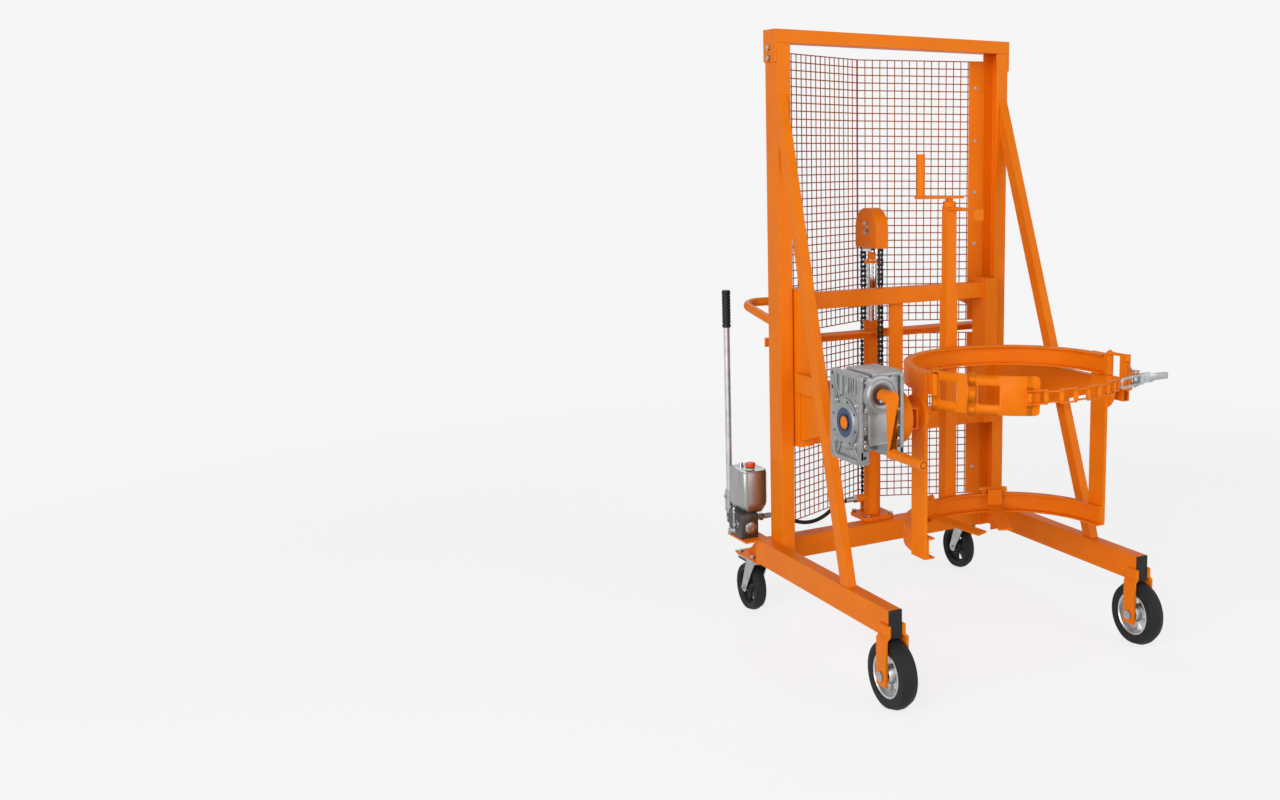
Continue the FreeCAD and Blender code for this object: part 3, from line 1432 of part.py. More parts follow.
def latch():
    gap = S.knuckle_gap
    ring_top = S.upper_ring_low + S.ring_height
    first = vec(S.barrel_x, -S.tilt_forward - S.barrel_forward, 0)
    second = vec(S.latch_pin_x, -S.tilt_forward - S.latch_pin_forward, 0)
    end = vec(S.latch_end_x, -S.tilt_forward - S.latch_end_forward, 0)
    plate_start = S.barrel_radius + gap + S.link_window
    link = flat_between(first, second, S.belt_low, S.belt_high, plate_start, S.latch_barrel + gap)
    for low, high in ((S.belt_low, S.upper_ring_low - gap), (ring_top + gap, S.belt_high)):
        link = link.fuse(flat_between(first, second, low, high, 0, S.latch_barrel + gap))
        link = link.fuse(upright(first, low, high, S.barrel_radius))
        link = link.cut(upright(first, low, high, S.barrel_pin + S.run_gap))
    for low, high in ((S.belt_low, S.latch_low - gap), (S.latch_high + gap, S.belt_high)):
        link = link.fuse(flat_between(first, second, low, high, plate_start, 0))
        link = link.fuse(upright(second, low, high, S.latch_barrel))
    link = link.fuse(upright(second, S.belt_low, S.belt_high, S.latch_pin))
    node("right_link", shaped(link))
    plate = flat_between(second, end, S.latch_low, S.latch_high, 0, 0)
    plate = plate.fuse(upright(second, S.latch_low, S.latch_high, S.latch_barrel))
    plate = plate.cut(upright(second, S.latch_low, S.latch_high, S.latch_pin + S.run_gap))
    along = end - second
    along.normalize()
    out = vec(along.y, -along.x, 0)
    if out.y > 0:
        out = out * -1
    middle_z = (S.latch_low + S.latch_high) / 2
    lever_axis = end + out * (S.latch_thick / 2 + S.latch_base)
    lug_low = vec(0, 0, middle_z - S.latch_base_half)
    lug_high = vec(0, 0, middle_z + S.latch_base_half)
    for low, sweep in ((lug_low, -S.latch_thick), (lug_high, S.latch_thick)):
        corners = [end - along * S.latch_boss * 2, end, lever_axis, lever_axis - along * S.latch_boss * 2]
        plate = plate.fuse(prism([corner + low for corner in corners], vec(0, 0, sweep)))
        plate = plate.fuse(solid_rod(lever_axis + low, lever_axis + low + vec(0, 0, sweep), S.latch_boss))
    pin_low = lever_axis + lug_low
    pin_high = lever_axis + lug_high
    plate = plate.fuse(solid_rod(pin_low, pin_high, S.latch_pin))
    node("latch_plate", shaped(plate))
    latch_lever(lever_axis, along, out, middle_z)


def upright(place, low, high, radius):
    """A round bar standing at a place on plan."""
    return solid_rod(place + vec(0, 0, low), place + vec(0, 0, high), radius)


def flat_between(start, end, low, high, start_trim, end_trim):
    """An upright flat plate between two hinge pins, cut back at each end."""
    along = end - start
    along.normalize()
    side = vec(-along.y, along.x, 0) * (S.latch_thick / 2)
    first = start + along * start_trim
    last = end - along * end_trim
    base = vec(0, 0, low)
    corners = [first - side + base, last - side + base, last + side + base, first + side + base]
    return prism(corners, vec(0, 0, high - low))


def latch_lever(axis, along, out, middle_z):
    """The toggle lever, standing out from the plate, and the hook that it pulls."""
    half = S.latch_base_half - S.knuckle_gap
    base = vec(0, 0, middle_z)
    boss = solid_rod(axis + base - vec(0, 0, half), axis + base + vec(0, 0, half), S.latch_boss)
    bore = solid_rod(axis, axis + vec(0, 0, S.post_top), S.latch_pin + S.run_gap)
    turn = math.radians(LATCH_LEVER_ANGLE)
    reach = out * math.sin(turn) - along * math.cos(turn)
    across = vec(-reach.y, reach.x, 0) * (S.latch_lever_thick / 2)
    far = axis + reach * S.latch_lever_length
    low = vec(0, 0, middle_z - S.latch_lever_half)
    corners = [axis - across + low, far - across + low, far + across + low, axis + across + low]
    blade = prism(corners, vec(0, 0, 2 * S.latch_lever_half))
    hook_pin = axis + out * S.latch_hook_offset
    ear_low = vec(0, 0, middle_z - half)
    ear = solid_rod(hook_pin + ear_low, hook_pin + ear_low + vec(0, 0, 2 * half), S.latch_hook_radius * 2)
    web_half = S.latch_hook_half - S.latch_hook_radius - S.knuckle_gap
    web_low = vec(0, 0, middle_z - web_half)
    web_side = vec(-out.y, out.x, 0) * (S.latch_lever_thick / 2)
    web_ends = [axis - web_side, hook_pin - web_side, hook_pin + web_side, axis + web_side]
    web = prism([corner + web_low for corner in web_ends], vec(0, 0, 2 * web_half))
    node("latch_lever", shaped(boss.fuse(blade).fuse(ear).fuse(web).cut(bore)))
    chain_end = chain_pins()[-1]
    run = chain_end - hook_pin
    run.normalize()
    clear = S.belt_chain_rail + S.latch_hook_gap + S.latch_hook_radius
    tip = chain_end - run * clear
    hook_start = hook_pin + run * (S.latch_hook_radius * 2 + S.seat_gap)
    low_rail = vec(0, 0, middle_z - S.latch_hook_half)
    high_rail = vec(0, 0, middle_z + S.latch_hook_half)
    route = [hook_start + low_rail, tip + low_rail, tip + high_rail, hook_start + high_rail]
    bars = swept(route, [S.latch_hook_bend] * 2, S.latch_hook_radius)
    node("latch_hook", shaped(bars))


# Running gear

def wheel(middle, radius, width, rim, hub, bore):
    """A tyre on a rim with a thin web and a bored hub."""
    x, y, z = middle

    def disc(size, wide):
        return rod("x", (f"{x} - ({wide}) / 2", y, z), size, wide)

    tyre = minus(disc(radius, width), disc(f"{rim} + seat_gap", f"{width} + overrun"))
    hoop = minus(disc(rim, width), disc(f"{rim} - rim_wall", f"{width} + overrun"))
    body = union(hoop, disc(f"{rim} - rim_wall / 2", "wheel_web"), disc(hub, width))
    return group(tyre, minus(body, disc(bore, f"{width} + overrun")))


def running_gear():
    flats = []
    brackets = []
    for name, side in SIDES.items():
        brackets.append(rear_bracket(side))
        for face in (-1, 1):
            flats.append(shaped(wheel_flat(side, face)))
        middle = (f"{side} * (leg_gap_half + leg_width / 2)", WHEEL_Y, "wheel_radius")
        bore = "axle_radius + run_gap"
        front_wheel = wheel(middle, "wheel_radius", "wheel_width", "wheel_rim", "wheel_hub", bore)
        node(f"front_wheel_{name}", front_wheel)
        castor(name, side)
    node("front_wheel_forks", group(*flats))
    node("rear_brackets", group(*brackets))


def castor(name, side):
    x = side * S.castor_x
    top = S.leg_bottom - S.bracket_plate
    axle_y = S.castor_y + S.castor_trail
    axle_z = S.castor_radius
    swivel_top = top - S.castor_plate_thick - S.seat_gap
    crown_top = swivel_top - S.swivel_height
    crown_low = crown_top - S.crown_thick
    shape = solid_rod(vec(x, S.castor_y, crown_top), vec(x, S.castor_y, swivel_top), S.swivel_radius)
    inner = S.castor_width / 2 + S.castor_side_gap
    outer = inner + S.castor_leg
    lead = S.castor_leg_half
    crown_end = vec(x + outer, S.castor_y + lead, crown_top)
    shape = shape.fuse(solid_box(vec(x - outer, S.castor_y - lead, crown_low), crown_end))
    for sign in (-1, 1):
        start = x + sign * inner
        corners = [
            vec(start, S.castor_y - lead, crown_top),
            vec(start, S.castor_y + lead, crown_top),
            vec(start, axle_y + S.castor_pad, axle_z),
            vec(start, axle_y, axle_z - S.castor_pad),
            vec(start, axle_y - S.castor_pad, axle_z),
        ]
        shape = shape.fuse(prism(corners, vec(sign * S.castor_leg, 0, 0)))
        end = start + sign * S.castor_leg
        shape = shape.fuse(solid_rod(vec(start, axle_y, axle_z), vec(end, axle_y, axle_z), S.castor_pad))
    reach = outer + S.castor_axle
    axle_ends = [vec(x + sign * reach, axle_y, axle_z) for sign in (-1, 1)]
    shape = shape.fuse(solid_rod(*axle_ends, S.castor_axle))
    pedal_y = S.castor_y + S.pedal_forward
    pedal_z = 2 * S.castor_radius + S.pedal_lift
    pin_ends = [vec(x + sign * inner, pedal_y, pedal_z) for sign in (-1, 1)]
    shape = shape.fuse(solid_rod(*pin_ends, S.pedal_pin))
    node(f"castor_fork_{name}", shaped(shape.removeSplitter()))
    middle = (f"{side} * castor_x", "castor_y + castor_trail", "castor_radius")
    bore = "castor_axle + run_gap"
    rolling = wheel(middle, "castor_radius", "castor_width", "castor_rim", "wheel_hub", bore)
    node(f"castor_wheel_{name}", rolling)
    half_thick = S.pedal_thick / 2
    pedal_back = pedal_y + S.pedal_length
    blade_low = vec(x - S.pedal_half, pedal_y, pedal_z - half_thick)
    blade = solid_box(blade_low, vec(x + S.pedal_half, pedal_back, pedal_z + half_thick))
    boss_ends = [vec(x + sign * S.pedal_half, pedal_y, pedal_z) for sign in (-1, 1)]
    blade = blade.fuse(solid_rod(*boss_ends, S.pedal_thick))
    node(f"castor_brake_{name}", shaped(blade.cut(solid_rod(*pin_ends, S.pedal_pin + S.run_gap))))


# Build, check and write every piece

frame_members()
running_gear()
frame_bolts()
push_handle()
crossbar()
guard()
lift_cylinder()
sheave_set()
pump()
hose()
carriage()
arms()
gearbox()
rings()
side_bars()
hook_post()
feet()
belt()
latch()
doc.recompute()

faults = []
for item in doc.Objects:
    if {"Invalid", "Error"} & set(item.State):
        faults.append(f"{item.Label}: {item.State}")
for label, item in NODES.items():
    if item.Shape.isNull() or not item.Shape.isValid() or not item.Shape.Solids:
        faults.append(f"{label}: bad shape")
if faults:
    raise RuntimeError("; ".join(faults))

os.makedirs("parts", exist_ok=True)
limits = FreeCAD.BoundBox()
for label, item in NODES.items():
    item.Shape.exportStep(f"parts/{label}.step")
    limits.add(item.Shape.BoundBox)
print(len(NODES), "nodes; box", limits)
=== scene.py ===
"""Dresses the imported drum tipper: paint, castings, wire guard, chains, gearbox, pump, wheels and hose."""

import json
import math

import bmesh
import bpy
from mathutils import Matrix, Vector


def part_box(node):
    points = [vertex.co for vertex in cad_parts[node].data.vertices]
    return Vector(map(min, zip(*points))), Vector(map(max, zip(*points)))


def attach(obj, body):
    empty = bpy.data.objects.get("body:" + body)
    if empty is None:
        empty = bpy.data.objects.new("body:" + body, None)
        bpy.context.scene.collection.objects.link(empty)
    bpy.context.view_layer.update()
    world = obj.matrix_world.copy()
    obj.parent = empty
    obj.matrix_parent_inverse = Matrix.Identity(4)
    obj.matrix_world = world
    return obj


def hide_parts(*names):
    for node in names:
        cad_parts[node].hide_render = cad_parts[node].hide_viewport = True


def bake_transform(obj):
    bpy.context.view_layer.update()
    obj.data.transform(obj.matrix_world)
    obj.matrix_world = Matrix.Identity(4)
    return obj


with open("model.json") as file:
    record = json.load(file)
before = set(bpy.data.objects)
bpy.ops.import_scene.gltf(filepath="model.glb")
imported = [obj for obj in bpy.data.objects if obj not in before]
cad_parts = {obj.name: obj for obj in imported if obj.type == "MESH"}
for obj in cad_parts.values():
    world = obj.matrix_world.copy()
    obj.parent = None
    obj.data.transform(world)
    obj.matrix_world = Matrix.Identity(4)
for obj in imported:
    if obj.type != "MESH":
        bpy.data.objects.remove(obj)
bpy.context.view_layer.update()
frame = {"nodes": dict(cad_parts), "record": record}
NODES = frame["nodes"]

# Places are in millimetres from the mast: x from its middle, y from its front face, z from the floor.
# MAST is where that point lies in the frame. OVERRUN is how far a cut runs past the faces it goes through.
MM = 0.001
MAST = Vector((37.0, 307.2, 0.0))
SIDES = {"left": -1, "right": 1}
ROUND = 40
EDGE_STEPS = 3
SMOOTH_ANGLE = math.radians(38)
OVERRUN = 5
X, Y, Z = Vector((1, 0, 0)), Vector((0, 1, 0)), Vector((0, 0, 1))


def metres(point):
    """A place in the frame's own metres."""
    return (Vector(point) + MAST) * MM


def span(node):
    """Lowest and highest corner of a CAD node in mast millimetres."""
    low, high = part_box(node)
    return low / MM - MAST, high / MM - MAST


def middle_of(node):
    low, high = span(node)
    return (low + high) / 2


def placed(name, data):
    """A new object in the scene."""
    item = bpy.data.objects.new(name, data)
    bpy.context.scene.collection.objects.link(item)
    return item


# Camera, light and floor

LENS, SENSOR = 37.97, 36.0
SHIFT_ACROSS, SHIFT_UP = -0.2367, -0.039
CAMERA_PLACE = (-2322.0, -3700.2, 1549.1)
CAMERA_YAW, CAMERA_PITCH, CAMERA_ROLL = -34.029, 8.769, 0.40
CLIP_END = 100
BACKGROUND = (0.92, 0.92, 0.92, 1)
WHITE = (1, 1, 1, 1)
NEAR_PALENESS = 0.79


def add_camera():
    data = bpy.data.cameras.new("camera")
    data.sensor_width = SENSOR
    data.lens = LENS
    data.shift_x = SHIFT_ACROSS
    data.shift_y = SHIFT_UP
    data.clip_end = CLIP_END
    camera = placed("camera", data)
    turn = Matrix.Rotation(math.radians(CAMERA_YAW), 4, "Z")
    turn @= Matrix.Rotation(math.radians(90 - CAMERA_PITCH), 4, "X")
    turn @= Matrix.Rotation(math.radians(CAMERA_ROLL), 4, "Z")
    camera.matrix_world = Matrix.Translation(metres(CAMERA_PLACE)) @ turn
    bpy.context.scene.camera = camera


def add_lamp(name, place, target, size, power):
    data = bpy.data.lights.new(name, "AREA")
    data.shape = "DISK"
    data.size = size
    data.energy = power
    aim = metres(target) - metres(place)
    turn = aim.to_track_quat("-Z", "Y").to_matrix().to_4x4()
    placed(name, data).matrix_world = Matrix.Translation(metres(place)) @ turn


def set_sockets(node, values):
    """Puts constants on a shader node's own sockets."""
    for socket, value in values.items():
        node.inputs[socket].default_value = value
    return node


def combined(nodes, links, operation, first, second):
    """A socket that holds the result of an operation on two others."""
    node = nodes.new("ShaderNodeMath")
    node.operation = operation
    links.new(first, node.inputs[0])
    links.new(second, node.inputs[1])
    return node.outputs[0]


def seen_directly(nodes, links):
    """A factor that is 1 for camera, glossy and transmission rays."""
    path = nodes.new("ShaderNodeLightPath")
    total = path.outputs["Is Camera Ray"]
    for ray in ("Is Glossy Ray", "Is Transmission Ray"):
        total = combined(nodes, links, "MAXIMUM", total, path.outputs[ray])
    return total


def end_in_mix(nodes, links, factor, first, second, output):
    """Ends a node tree in a mix of two shaders."""
    mix = nodes.new("ShaderNodeMixShader")
    links.new(factor, mix.inputs["Fac"])
    links.new(first.outputs[0], mix.inputs[1])
    links.new(second.outputs[0], mix.inputs[2])
    links.new(mix.outputs[0], nodes.new(output).inputs["Surface"])


def add_world(ambient):
    world = bpy.data.worlds.new("studio")
    bpy.context.scene.world = world
    world.use_nodes = True
    nodes, links = world.node_tree.nodes, world.node_tree.links
    nodes.clear()
    light = set_sockets(nodes.new("ShaderNodeBackground"), {"Color": WHITE, "Strength": ambient})
    backdrop = set_sockets(nodes.new("ShaderNodeBackground"), {"Color": BACKGROUND})
    end_in_mix(nodes, links, seen_directly(nodes, links), light, backdrop, "ShaderNodeOutputWorld")


def add_floor(half, fade_start, fade_end):
    """A pale floor that keeps the shadow near the object and turns into the backdrop further out."""
    data = bpy.data.meshes.new("floor")
    corners = [(-half, -half, 0), (half, -half, 0), (half, half, 0), (-half, half, 0)]
    data.from_pydata(corners, [], [(0, 1, 2, 3)])
    floor = placed("floor", data)
    paint = bpy.data.materials.new("floor")
    paint.use_nodes = True
    nodes, links = paint.node_tree.nodes, paint.node_tree.links
    nodes.clear()
    place = nodes.new("ShaderNodeTexCoord")
    length = nodes.new("ShaderNodeVectorMath")
    length.operation = "LENGTH"
    links.new(place.outputs["Object"], length.inputs[0])
    fade = set_sockets(nodes.new("ShaderNodeMapRange"), {"From Min": fade_start, "From Max": fade_end})
    fade.interpolation_type = "SMOOTHSTEP"
    links.new(length.outputs["Value"], fade.inputs["Value"])
    share = set_sockets(nodes.new("ShaderNodeMapRange"), {"To Min": NEAR_PALENESS})
    links.new(fade.outputs["Result"], share.inputs["Value"])
    pale = combined(nodes, links, "MULTIPLY", share.outputs["Result"], seen_directly(nodes, links))
    tint = nodes.new("ShaderNodeMix")
    tint.data_type = "RGBA"
    set_sockets(tint, {"A": WHITE, "B": BACKGROUND})
    links.new(fade.outputs["Result"], tint.inputs["Factor"])
    shadow = set_sockets(nodes.new("ShaderNodeBsdfDiffuse"), {"Color": BACKGROUND})
    backdrop = nodes.new("ShaderNodeEmission")
    links.new(tint.outputs["Result"], backdrop.inputs["Color"])
    end_in_mix(nodes, links, pale, shadow, backdrop, "ShaderNodeOutputMaterial")
    data.materials.append(paint)


bpy.context.scene.view_settings.view_transform = "Standard"
add_camera()
add_world(ambient=0.24)
add_lamp("key", (-6000, -4300, 3300), (0, -250, 700), size=6.4, power=375)
add_lamp("fill", (2600, -6000, 2400), (0, -250, 800), size=5.4, power=120)
add_lamp("back", (600, 3000, 3200), (0, 0, 900), size=2.4, power=24)
add_floor(half=14, fade_start=2.2, fade_end=5.0)


# Materials

DRIFT_DETAIL, GRAIN_DETAIL = 6, 3
RAMP_ENDS = (0.32, 0.68)


PAINTS = {}


def add_paint(name, colour, other, rough, metallic=0.0, scale=9.0, stretch=(1, 1, 1), rough_swing=0.06,
              bump=0.05, bump_scale=260.0, bump_depth=0.0006, coat=0.0, coat_rough=0.1, specular=0.5):
    """Adds a finish whose colour and roughness drift between two values, with a fine bump."""
    paint = bpy.data.materials.new(name)
    paint.use_nodes = True
    nodes, links = paint.node_tree.nodes, paint.node_tree.links
    shader = nodes["Principled BSDF"]
    set_sockets(shader, {"Metallic": metallic, "Coat Weight": coat, "Coat Roughness": coat_rough,
                         "Specular IOR Level": specular})
    place = nodes.new("ShaderNodeTexCoord")
    mapping = set_sockets(nodes.new("ShaderNodeMapping"), {"Scale": stretch})
    links.new(place.outputs["Object"], mapping.inputs["Vector"])
    drift = set_sockets(nodes.new("ShaderNodeTexNoise"), {"Scale": scale, "Detail": DRIFT_DETAIL})
    links.new(mapping.outputs["Vector"], drift.inputs["Vector"])
    ramp = nodes.new("ShaderNodeValToRGB")
    for stop, position, tone in zip(ramp.color_ramp.elements, RAMP_ENDS, (other, colour)):
        stop.position = position
        stop.color = (*tone, 1)
    links.new(drift.outputs["Fac"], ramp.inputs["Fac"])
    links.new(ramp.outputs["Color"], shader.inputs["Base Color"])
    swing = nodes.new("ShaderNodeMapRange")
    set_sockets(swing, {"To Min": rough - rough_swing, "To Max": rough + rough_swing})
    links.new(drift.outputs["Fac"], swing.inputs["Value"])
    links.new(swing.outputs["Result"], shader.inputs["Roughness"])
    grain = set_sockets(nodes.new("ShaderNodeTexNoise"), {"Scale": bump_scale, "Detail": GRAIN_DETAIL})
    links.new(mapping.outputs["Vector"], grain.inputs["Vector"])
    relief = set_sockets(nodes.new("ShaderNodeBump"), {"Strength": bump, "Distance": bump_depth})
    links.new(grain.outputs["Fac"], relief.inputs["Height"])
    links.new(relief.outputs["Normal"], shader.inputs["Normal"])
    PAINTS[name] = paint


add_paint("orange_paint", (0.90, 0.215, 0.004), (0.85, 0.190, 0.003), 0.42, bump=0.10, bump_scale=420,
          coat=0.05, coat_rough=0.12, specular=0.08)
add_paint("black_plastic", (0.016, 0.016, 0.016), (0.010, 0.010, 0.011), 0.48, bump=0.25, bump_scale=900,
          specular=0.25)
add_paint("zinc", (0.48, 0.50, 0.51), (0.34, 0.36, 0.37), 0.30, metallic=1.0, scale=26, bump=0.12,
          bump_scale=500)
add_paint("chain_steel", (0.035, 0.034, 0.032), (0.016, 0.016, 0.016), 0.38, metallic=0.6, scale=60,
          bump=0.15)
add_paint("white_nylon", (0.80, 0.80, 0.76), (0.72, 0.72, 0.68), 0.42, bump=0.06)
add_paint("black_rubber", (0.020, 0.020, 0.020), (0.013, 0.013, 0.014), 0.62, scale=30, bump=0.35,
          bump_scale=700, specular=0.2)
add_paint("mesh_wire", (0.46, 0.085, 0.014), (0.36, 0.064, 0.011), 0.42, scale=20, bump=0.08, specular=0.1)
add_paint("tank_steel", (0.40, 0.405, 0.405), (0.33, 0.335, 0.335), 0.34, metallic=1.0, scale=9,
          stretch=(4, 4, 1), bump=0.05, bump_scale=90)
add_paint("grey_casting", (0.36, 0.37, 0.375), (0.25, 0.26, 0.265), 0.40, metallic=0.65, scale=22, bump=0.30,
          bump_scale=520)
add_paint("chrome", (0.72, 0.72, 0.74), (0.62, 0.62, 0.64), 0.12, metallic=1.0, rough_swing=0.03, bump=0.02)
add_paint("bronze", (0.52, 0.33, 0.13), (0.40, 0.24, 0.08), 0.36, metallic=1.0, scale=30)
add_paint("red_plastic", (0.82, 0.085, 0.022), (0.74, 0.066, 0.016), 0.34, bump=0.08, specular=0.3)
add_paint("wheel_rim", (0.62, 0.64, 0.66), (0.50, 0.52, 0.54), 0.34, metallic=0.9, scale=24, bump=0.2)
add_paint("pump_casting", (0.105, 0.095, 0.085), (0.060, 0.056, 0.052), 0.46, metallic=0.7, scale=26,
          bump=0.35, bump_scale=600)
add_paint("blue_seal", (0.010, 0.045, 0.15), (0.007, 0.030, 0.105), 0.36, bump=0.06)
add_paint("brown_seal", (0.085, 0.045, 0.038), (0.055, 0.030, 0.026), 0.5, bump=0.1)
add_paint("brass", (0.70, 0.44, 0.14), (0.56, 0.33, 0.09), 0.30, metallic=1.0, scale=40)
# near-black painted shade that stands in for the dark depth inside a bore
add_paint("painted_hole_shade", (0.012, 0.011, 0.010), (0.006, 0.006, 0.006), 0.8)


# Shapes, gathered in one mesh per piece and in mast millimetres

# A hexagon head as shares of its radius and length, and a bolt as shares of its head's radius
HEAD_PROFILE = [(0, 0), (0.98, 0), (1, 0.08), (1, 0.8), (0.88, 1), (0, 1)]
HEAD_LENGTH, WASHER_THICK, WASHER_RADIUS, WASHER_EDGE = 0.75, 0.22, 1.25, 0.06
NEARLY_UPRIGHT, LEAST_MITRE = 0.9, 0.3


def block(mesh, low, high, edge):
    """A box with rounded edges."""
    low, high = Vector(low), Vector(high)
    made = bmesh.ops.create_cube(mesh, size=1)
    shape = Matrix.Translation((low + high) / 2) @ Matrix.Diagonal((*(high - low), 1))
    bmesh.ops.transform(mesh, matrix=shape, verts=made["verts"])
    eased(mesh, made["verts"], edge, paint=0)


def eased(mesh, verts, edge, paint):
    """Rounds every edge of a new solid and paints it."""
    edges = list({item for vert in verts for item in vert.link_edges})
    faces = {item for vert in verts for item in vert.link_faces}
    if edge:
        result = bmesh.ops.bevel(mesh, geom=edges, offset=edge, segments=EDGE_STEPS, profile=0.5,
                                 affect="EDGES")
        faces = {face for face in faces if face.is_valid} | set(result["faces"])
    for face in faces:
        face.material_index = paint


def prism(mesh, outline, sweep, edge, paint=0):
    """A flat outline swept along a vector."""
    face = mesh.faces.new([mesh.verts.new(Vector(point)) for point in outline])
    grown = bmesh.ops.extrude_face_region(mesh, geom=[face])
    moved = [item for item in grown["geom"] if isinstance(item, bmesh.types.BMVert)]
    bmesh.ops.translate(mesh, vec=Vector(sweep), verts=moved)
    eased(mesh, moved + list(face.verts), edge, paint)


def lathe(mesh, start, axis, profile, paint=0, sides=ROUND, closed=False):
    """A turned solid from (radius, distance along the axis) points, or a ring where the profile is closed."""
    turn = Vector(axis).to_track_quat("Z", "Y").to_matrix()
    rings = []
    for radius, along in profile:
        ring = []
        for step in range(sides if radius else 1):
            angle = math.tau * step / sides
            local = Vector((radius * math.cos(angle), radius * math.sin(angle), along))
            ring.append(mesh.verts.new(Vector(start) + turn @ local))
        rings.append(ring)
    pairs = list(zip(rings, rings[1:]))
    if closed:
        pairs.append((rings[-1], rings[0]))
    for first, second in pairs:
        for step in range(sides):
            after = (step + 1) % sides
            corners = [first[step % len(first)], first[after % len(first)],
                       second[after % len(second)], second[step % len(second)]]
            unique = list(dict.fromkeys(corners))
            if len(unique) > 2:
                mesh.faces.new(unique).material_index = paint


def rod(mesh, start, end, radius, edge, paint=0, sides=ROUND):
    """A round bar with chamfered ends."""
    axis = Vector(end) - Vector(start)
    length = axis.length
    profile = [(0, 0), (radius - edge, 0), (radius, edge), (radius, length - edge), (radius - edge, length),
               (0, length)]
    lathe(mesh, start, axis, profile, paint, sides)


def tube(mesh, start, end, outer, inner, edge, paint=0, sides=ROUND):
    """A pipe with a bore."""
    axis = Vector(end) - Vector(start)
    length = axis.length
    profile = [(inner, edge), (inner + edge, 0), (outer - edge, 0), (outer, edge), (outer, length - edge),
               (outer - edge, length), (inner + edge, length), (inner, length - edge)]
    lathe(mesh, start, axis, profile, paint, sides, closed=True)


def hexagon(mesh, start, axis, radius, length, paint=0):
    """A nut or a bolt's head with its corners chamfered."""
    profile = [(radius * across, length * along) for across, along in HEAD_PROFILE]
    lathe(mesh, start, axis, profile, paint, sides=6)


def bolt(mesh, start, axis, radius, paint=0):
    """A washer with a hexagon head on it."""
    axis = Vector(axis).normalized()
    start = Vector(start)
    seat = start + axis * radius * WASHER_THICK
    rod(mesh, start, seat, radius * WASHER_RADIUS, radius * WASHER_EDGE, paint, sides=24)
    hexagon(mesh, seat, axis, radius, radius * HEAD_LENGTH, paint)


def skin(mesh, loops):
    """Faces through closed loops that have equal counts of points, with both ends shut."""
    count = len(loops[0])
    for first, second in zip(loops, loops[1:]):
        for step in range(count):
            after = (step + 1) % count
            mesh.faces.new((first[step], first[after], second[after], second[step]))
    for loop in (loops[0], loops[-1]):
        mesh.faces.new(loop)


def pipe(mesh, points, radius, sides):
    """A round bar along straight runs with mitred corners."""
    points = [Vector(point) for point in points]
    rings = []
    for index, point in enumerate(points):
        before = (point - points[index - 1]).normalized() if index else (points[1] - point).normalized()
        after = (points[index + 1] - point).normalized() if index + 1 < len(points) else before
        middle = (before + after).normalized()
        side = middle.cross(Z if abs(middle.z) < NEARLY_UPRIGHT else X).normalized()
        other = side.cross(middle)
        stretch = 1 / max(LEAST_MITRE, middle.dot(before))
        ring = []
        for step in range(sides):
            angle = math.tau * (step + 0.5) / sides
            offset = side * math.cos(angle) * stretch + other * math.sin(angle)
            ring.append(mesh.verts.new(point + offset * radius))
        rings.append(ring)
    skin(mesh, rings)


def rounded(low, high, corner, steps=6):
    """Points of a rectangle with round corners, as (across, along) pairs."""
    points = []
    centres = ((high[0] - corner, high[1] - corner), (low[0] + corner, high[1] - corner),
               (low[0] + corner, low[1] + corner), (high[0] - corner, low[1] + corner))
    for quarter, (across, along) in enumerate(centres):
        for step in range(steps + 1):
            angle = math.pi / 2 * (quarter + step / steps)
            points.append((across + corner * math.cos(angle), along + corner * math.sin(angle)))
    return points


def carved(mesh, tool):
    """The first mesh with the second cut out of it."""
    items = []
    for source in (mesh, tool):
        bmesh.ops.recalc_face_normals(source, faces=source.faces)
        data = bpy.data.meshes.new("carving")
        source.to_mesh(data)
        source.free()
        items.append(placed("carving", data))
    cut = items[0].modifiers.new("cut", "BOOLEAN")
    cut.object = items[1]
    cut.operation = "DIFFERENCE"
    cut.solver = "EXACT"
    bpy.context.view_layer.update()
    evaluated = items[0].evaluated_get(bpy.context.evaluated_depsgraph_get())
    result = bmesh.new()
    result.from_mesh(evaluated.to_mesh())
    for item in items:
        data = item.data
        bpy.data.objects.remove(item)
        bpy.data.meshes.remove(data)
    return result


def join(target, source, paint=0):
    """Adds one gathered mesh to another, in one paint."""
    for face in source.faces:
        face.material_index = paint
    kept = bpy.data.meshes.new("joined")
    source.to_mesh(kept)
    source.free()
    target.from_mesh(kept)
    bpy.data.meshes.remove(kept)


def piece(name, mesh, paints, body=None, replaces=(), slot=None):
    """Makes a gathered mesh an object on a body; its slot argument is not used."""
    slot = slot or paints[0]
    bmesh.ops.recalc_face_normals(mesh, faces=mesh.faces)
    data = bpy.data.meshes.new(name)
    mesh.to_mesh(data)
    mesh.free()
    data.transform(Matrix.Scale(MM, 4) @ Matrix.Translation(MAST))
    for paint in paints:
        data.materials.append(PAINTS[paint])
    data.shade_smooth()
    data.set_sharp_from_angle(angle=SMOOTH_ANGLE)
    item = placed(name, data)
    if replaces:
        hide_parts(*replaces)
    if body:
        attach(item, body)
    return item


# CAD pieces that keep their shape: paint and rounded edges

WELD_GAP = 0.00002
FLAT_ANGLE, EDGE_ANGLE = math.radians(0.6), math.radians(40)
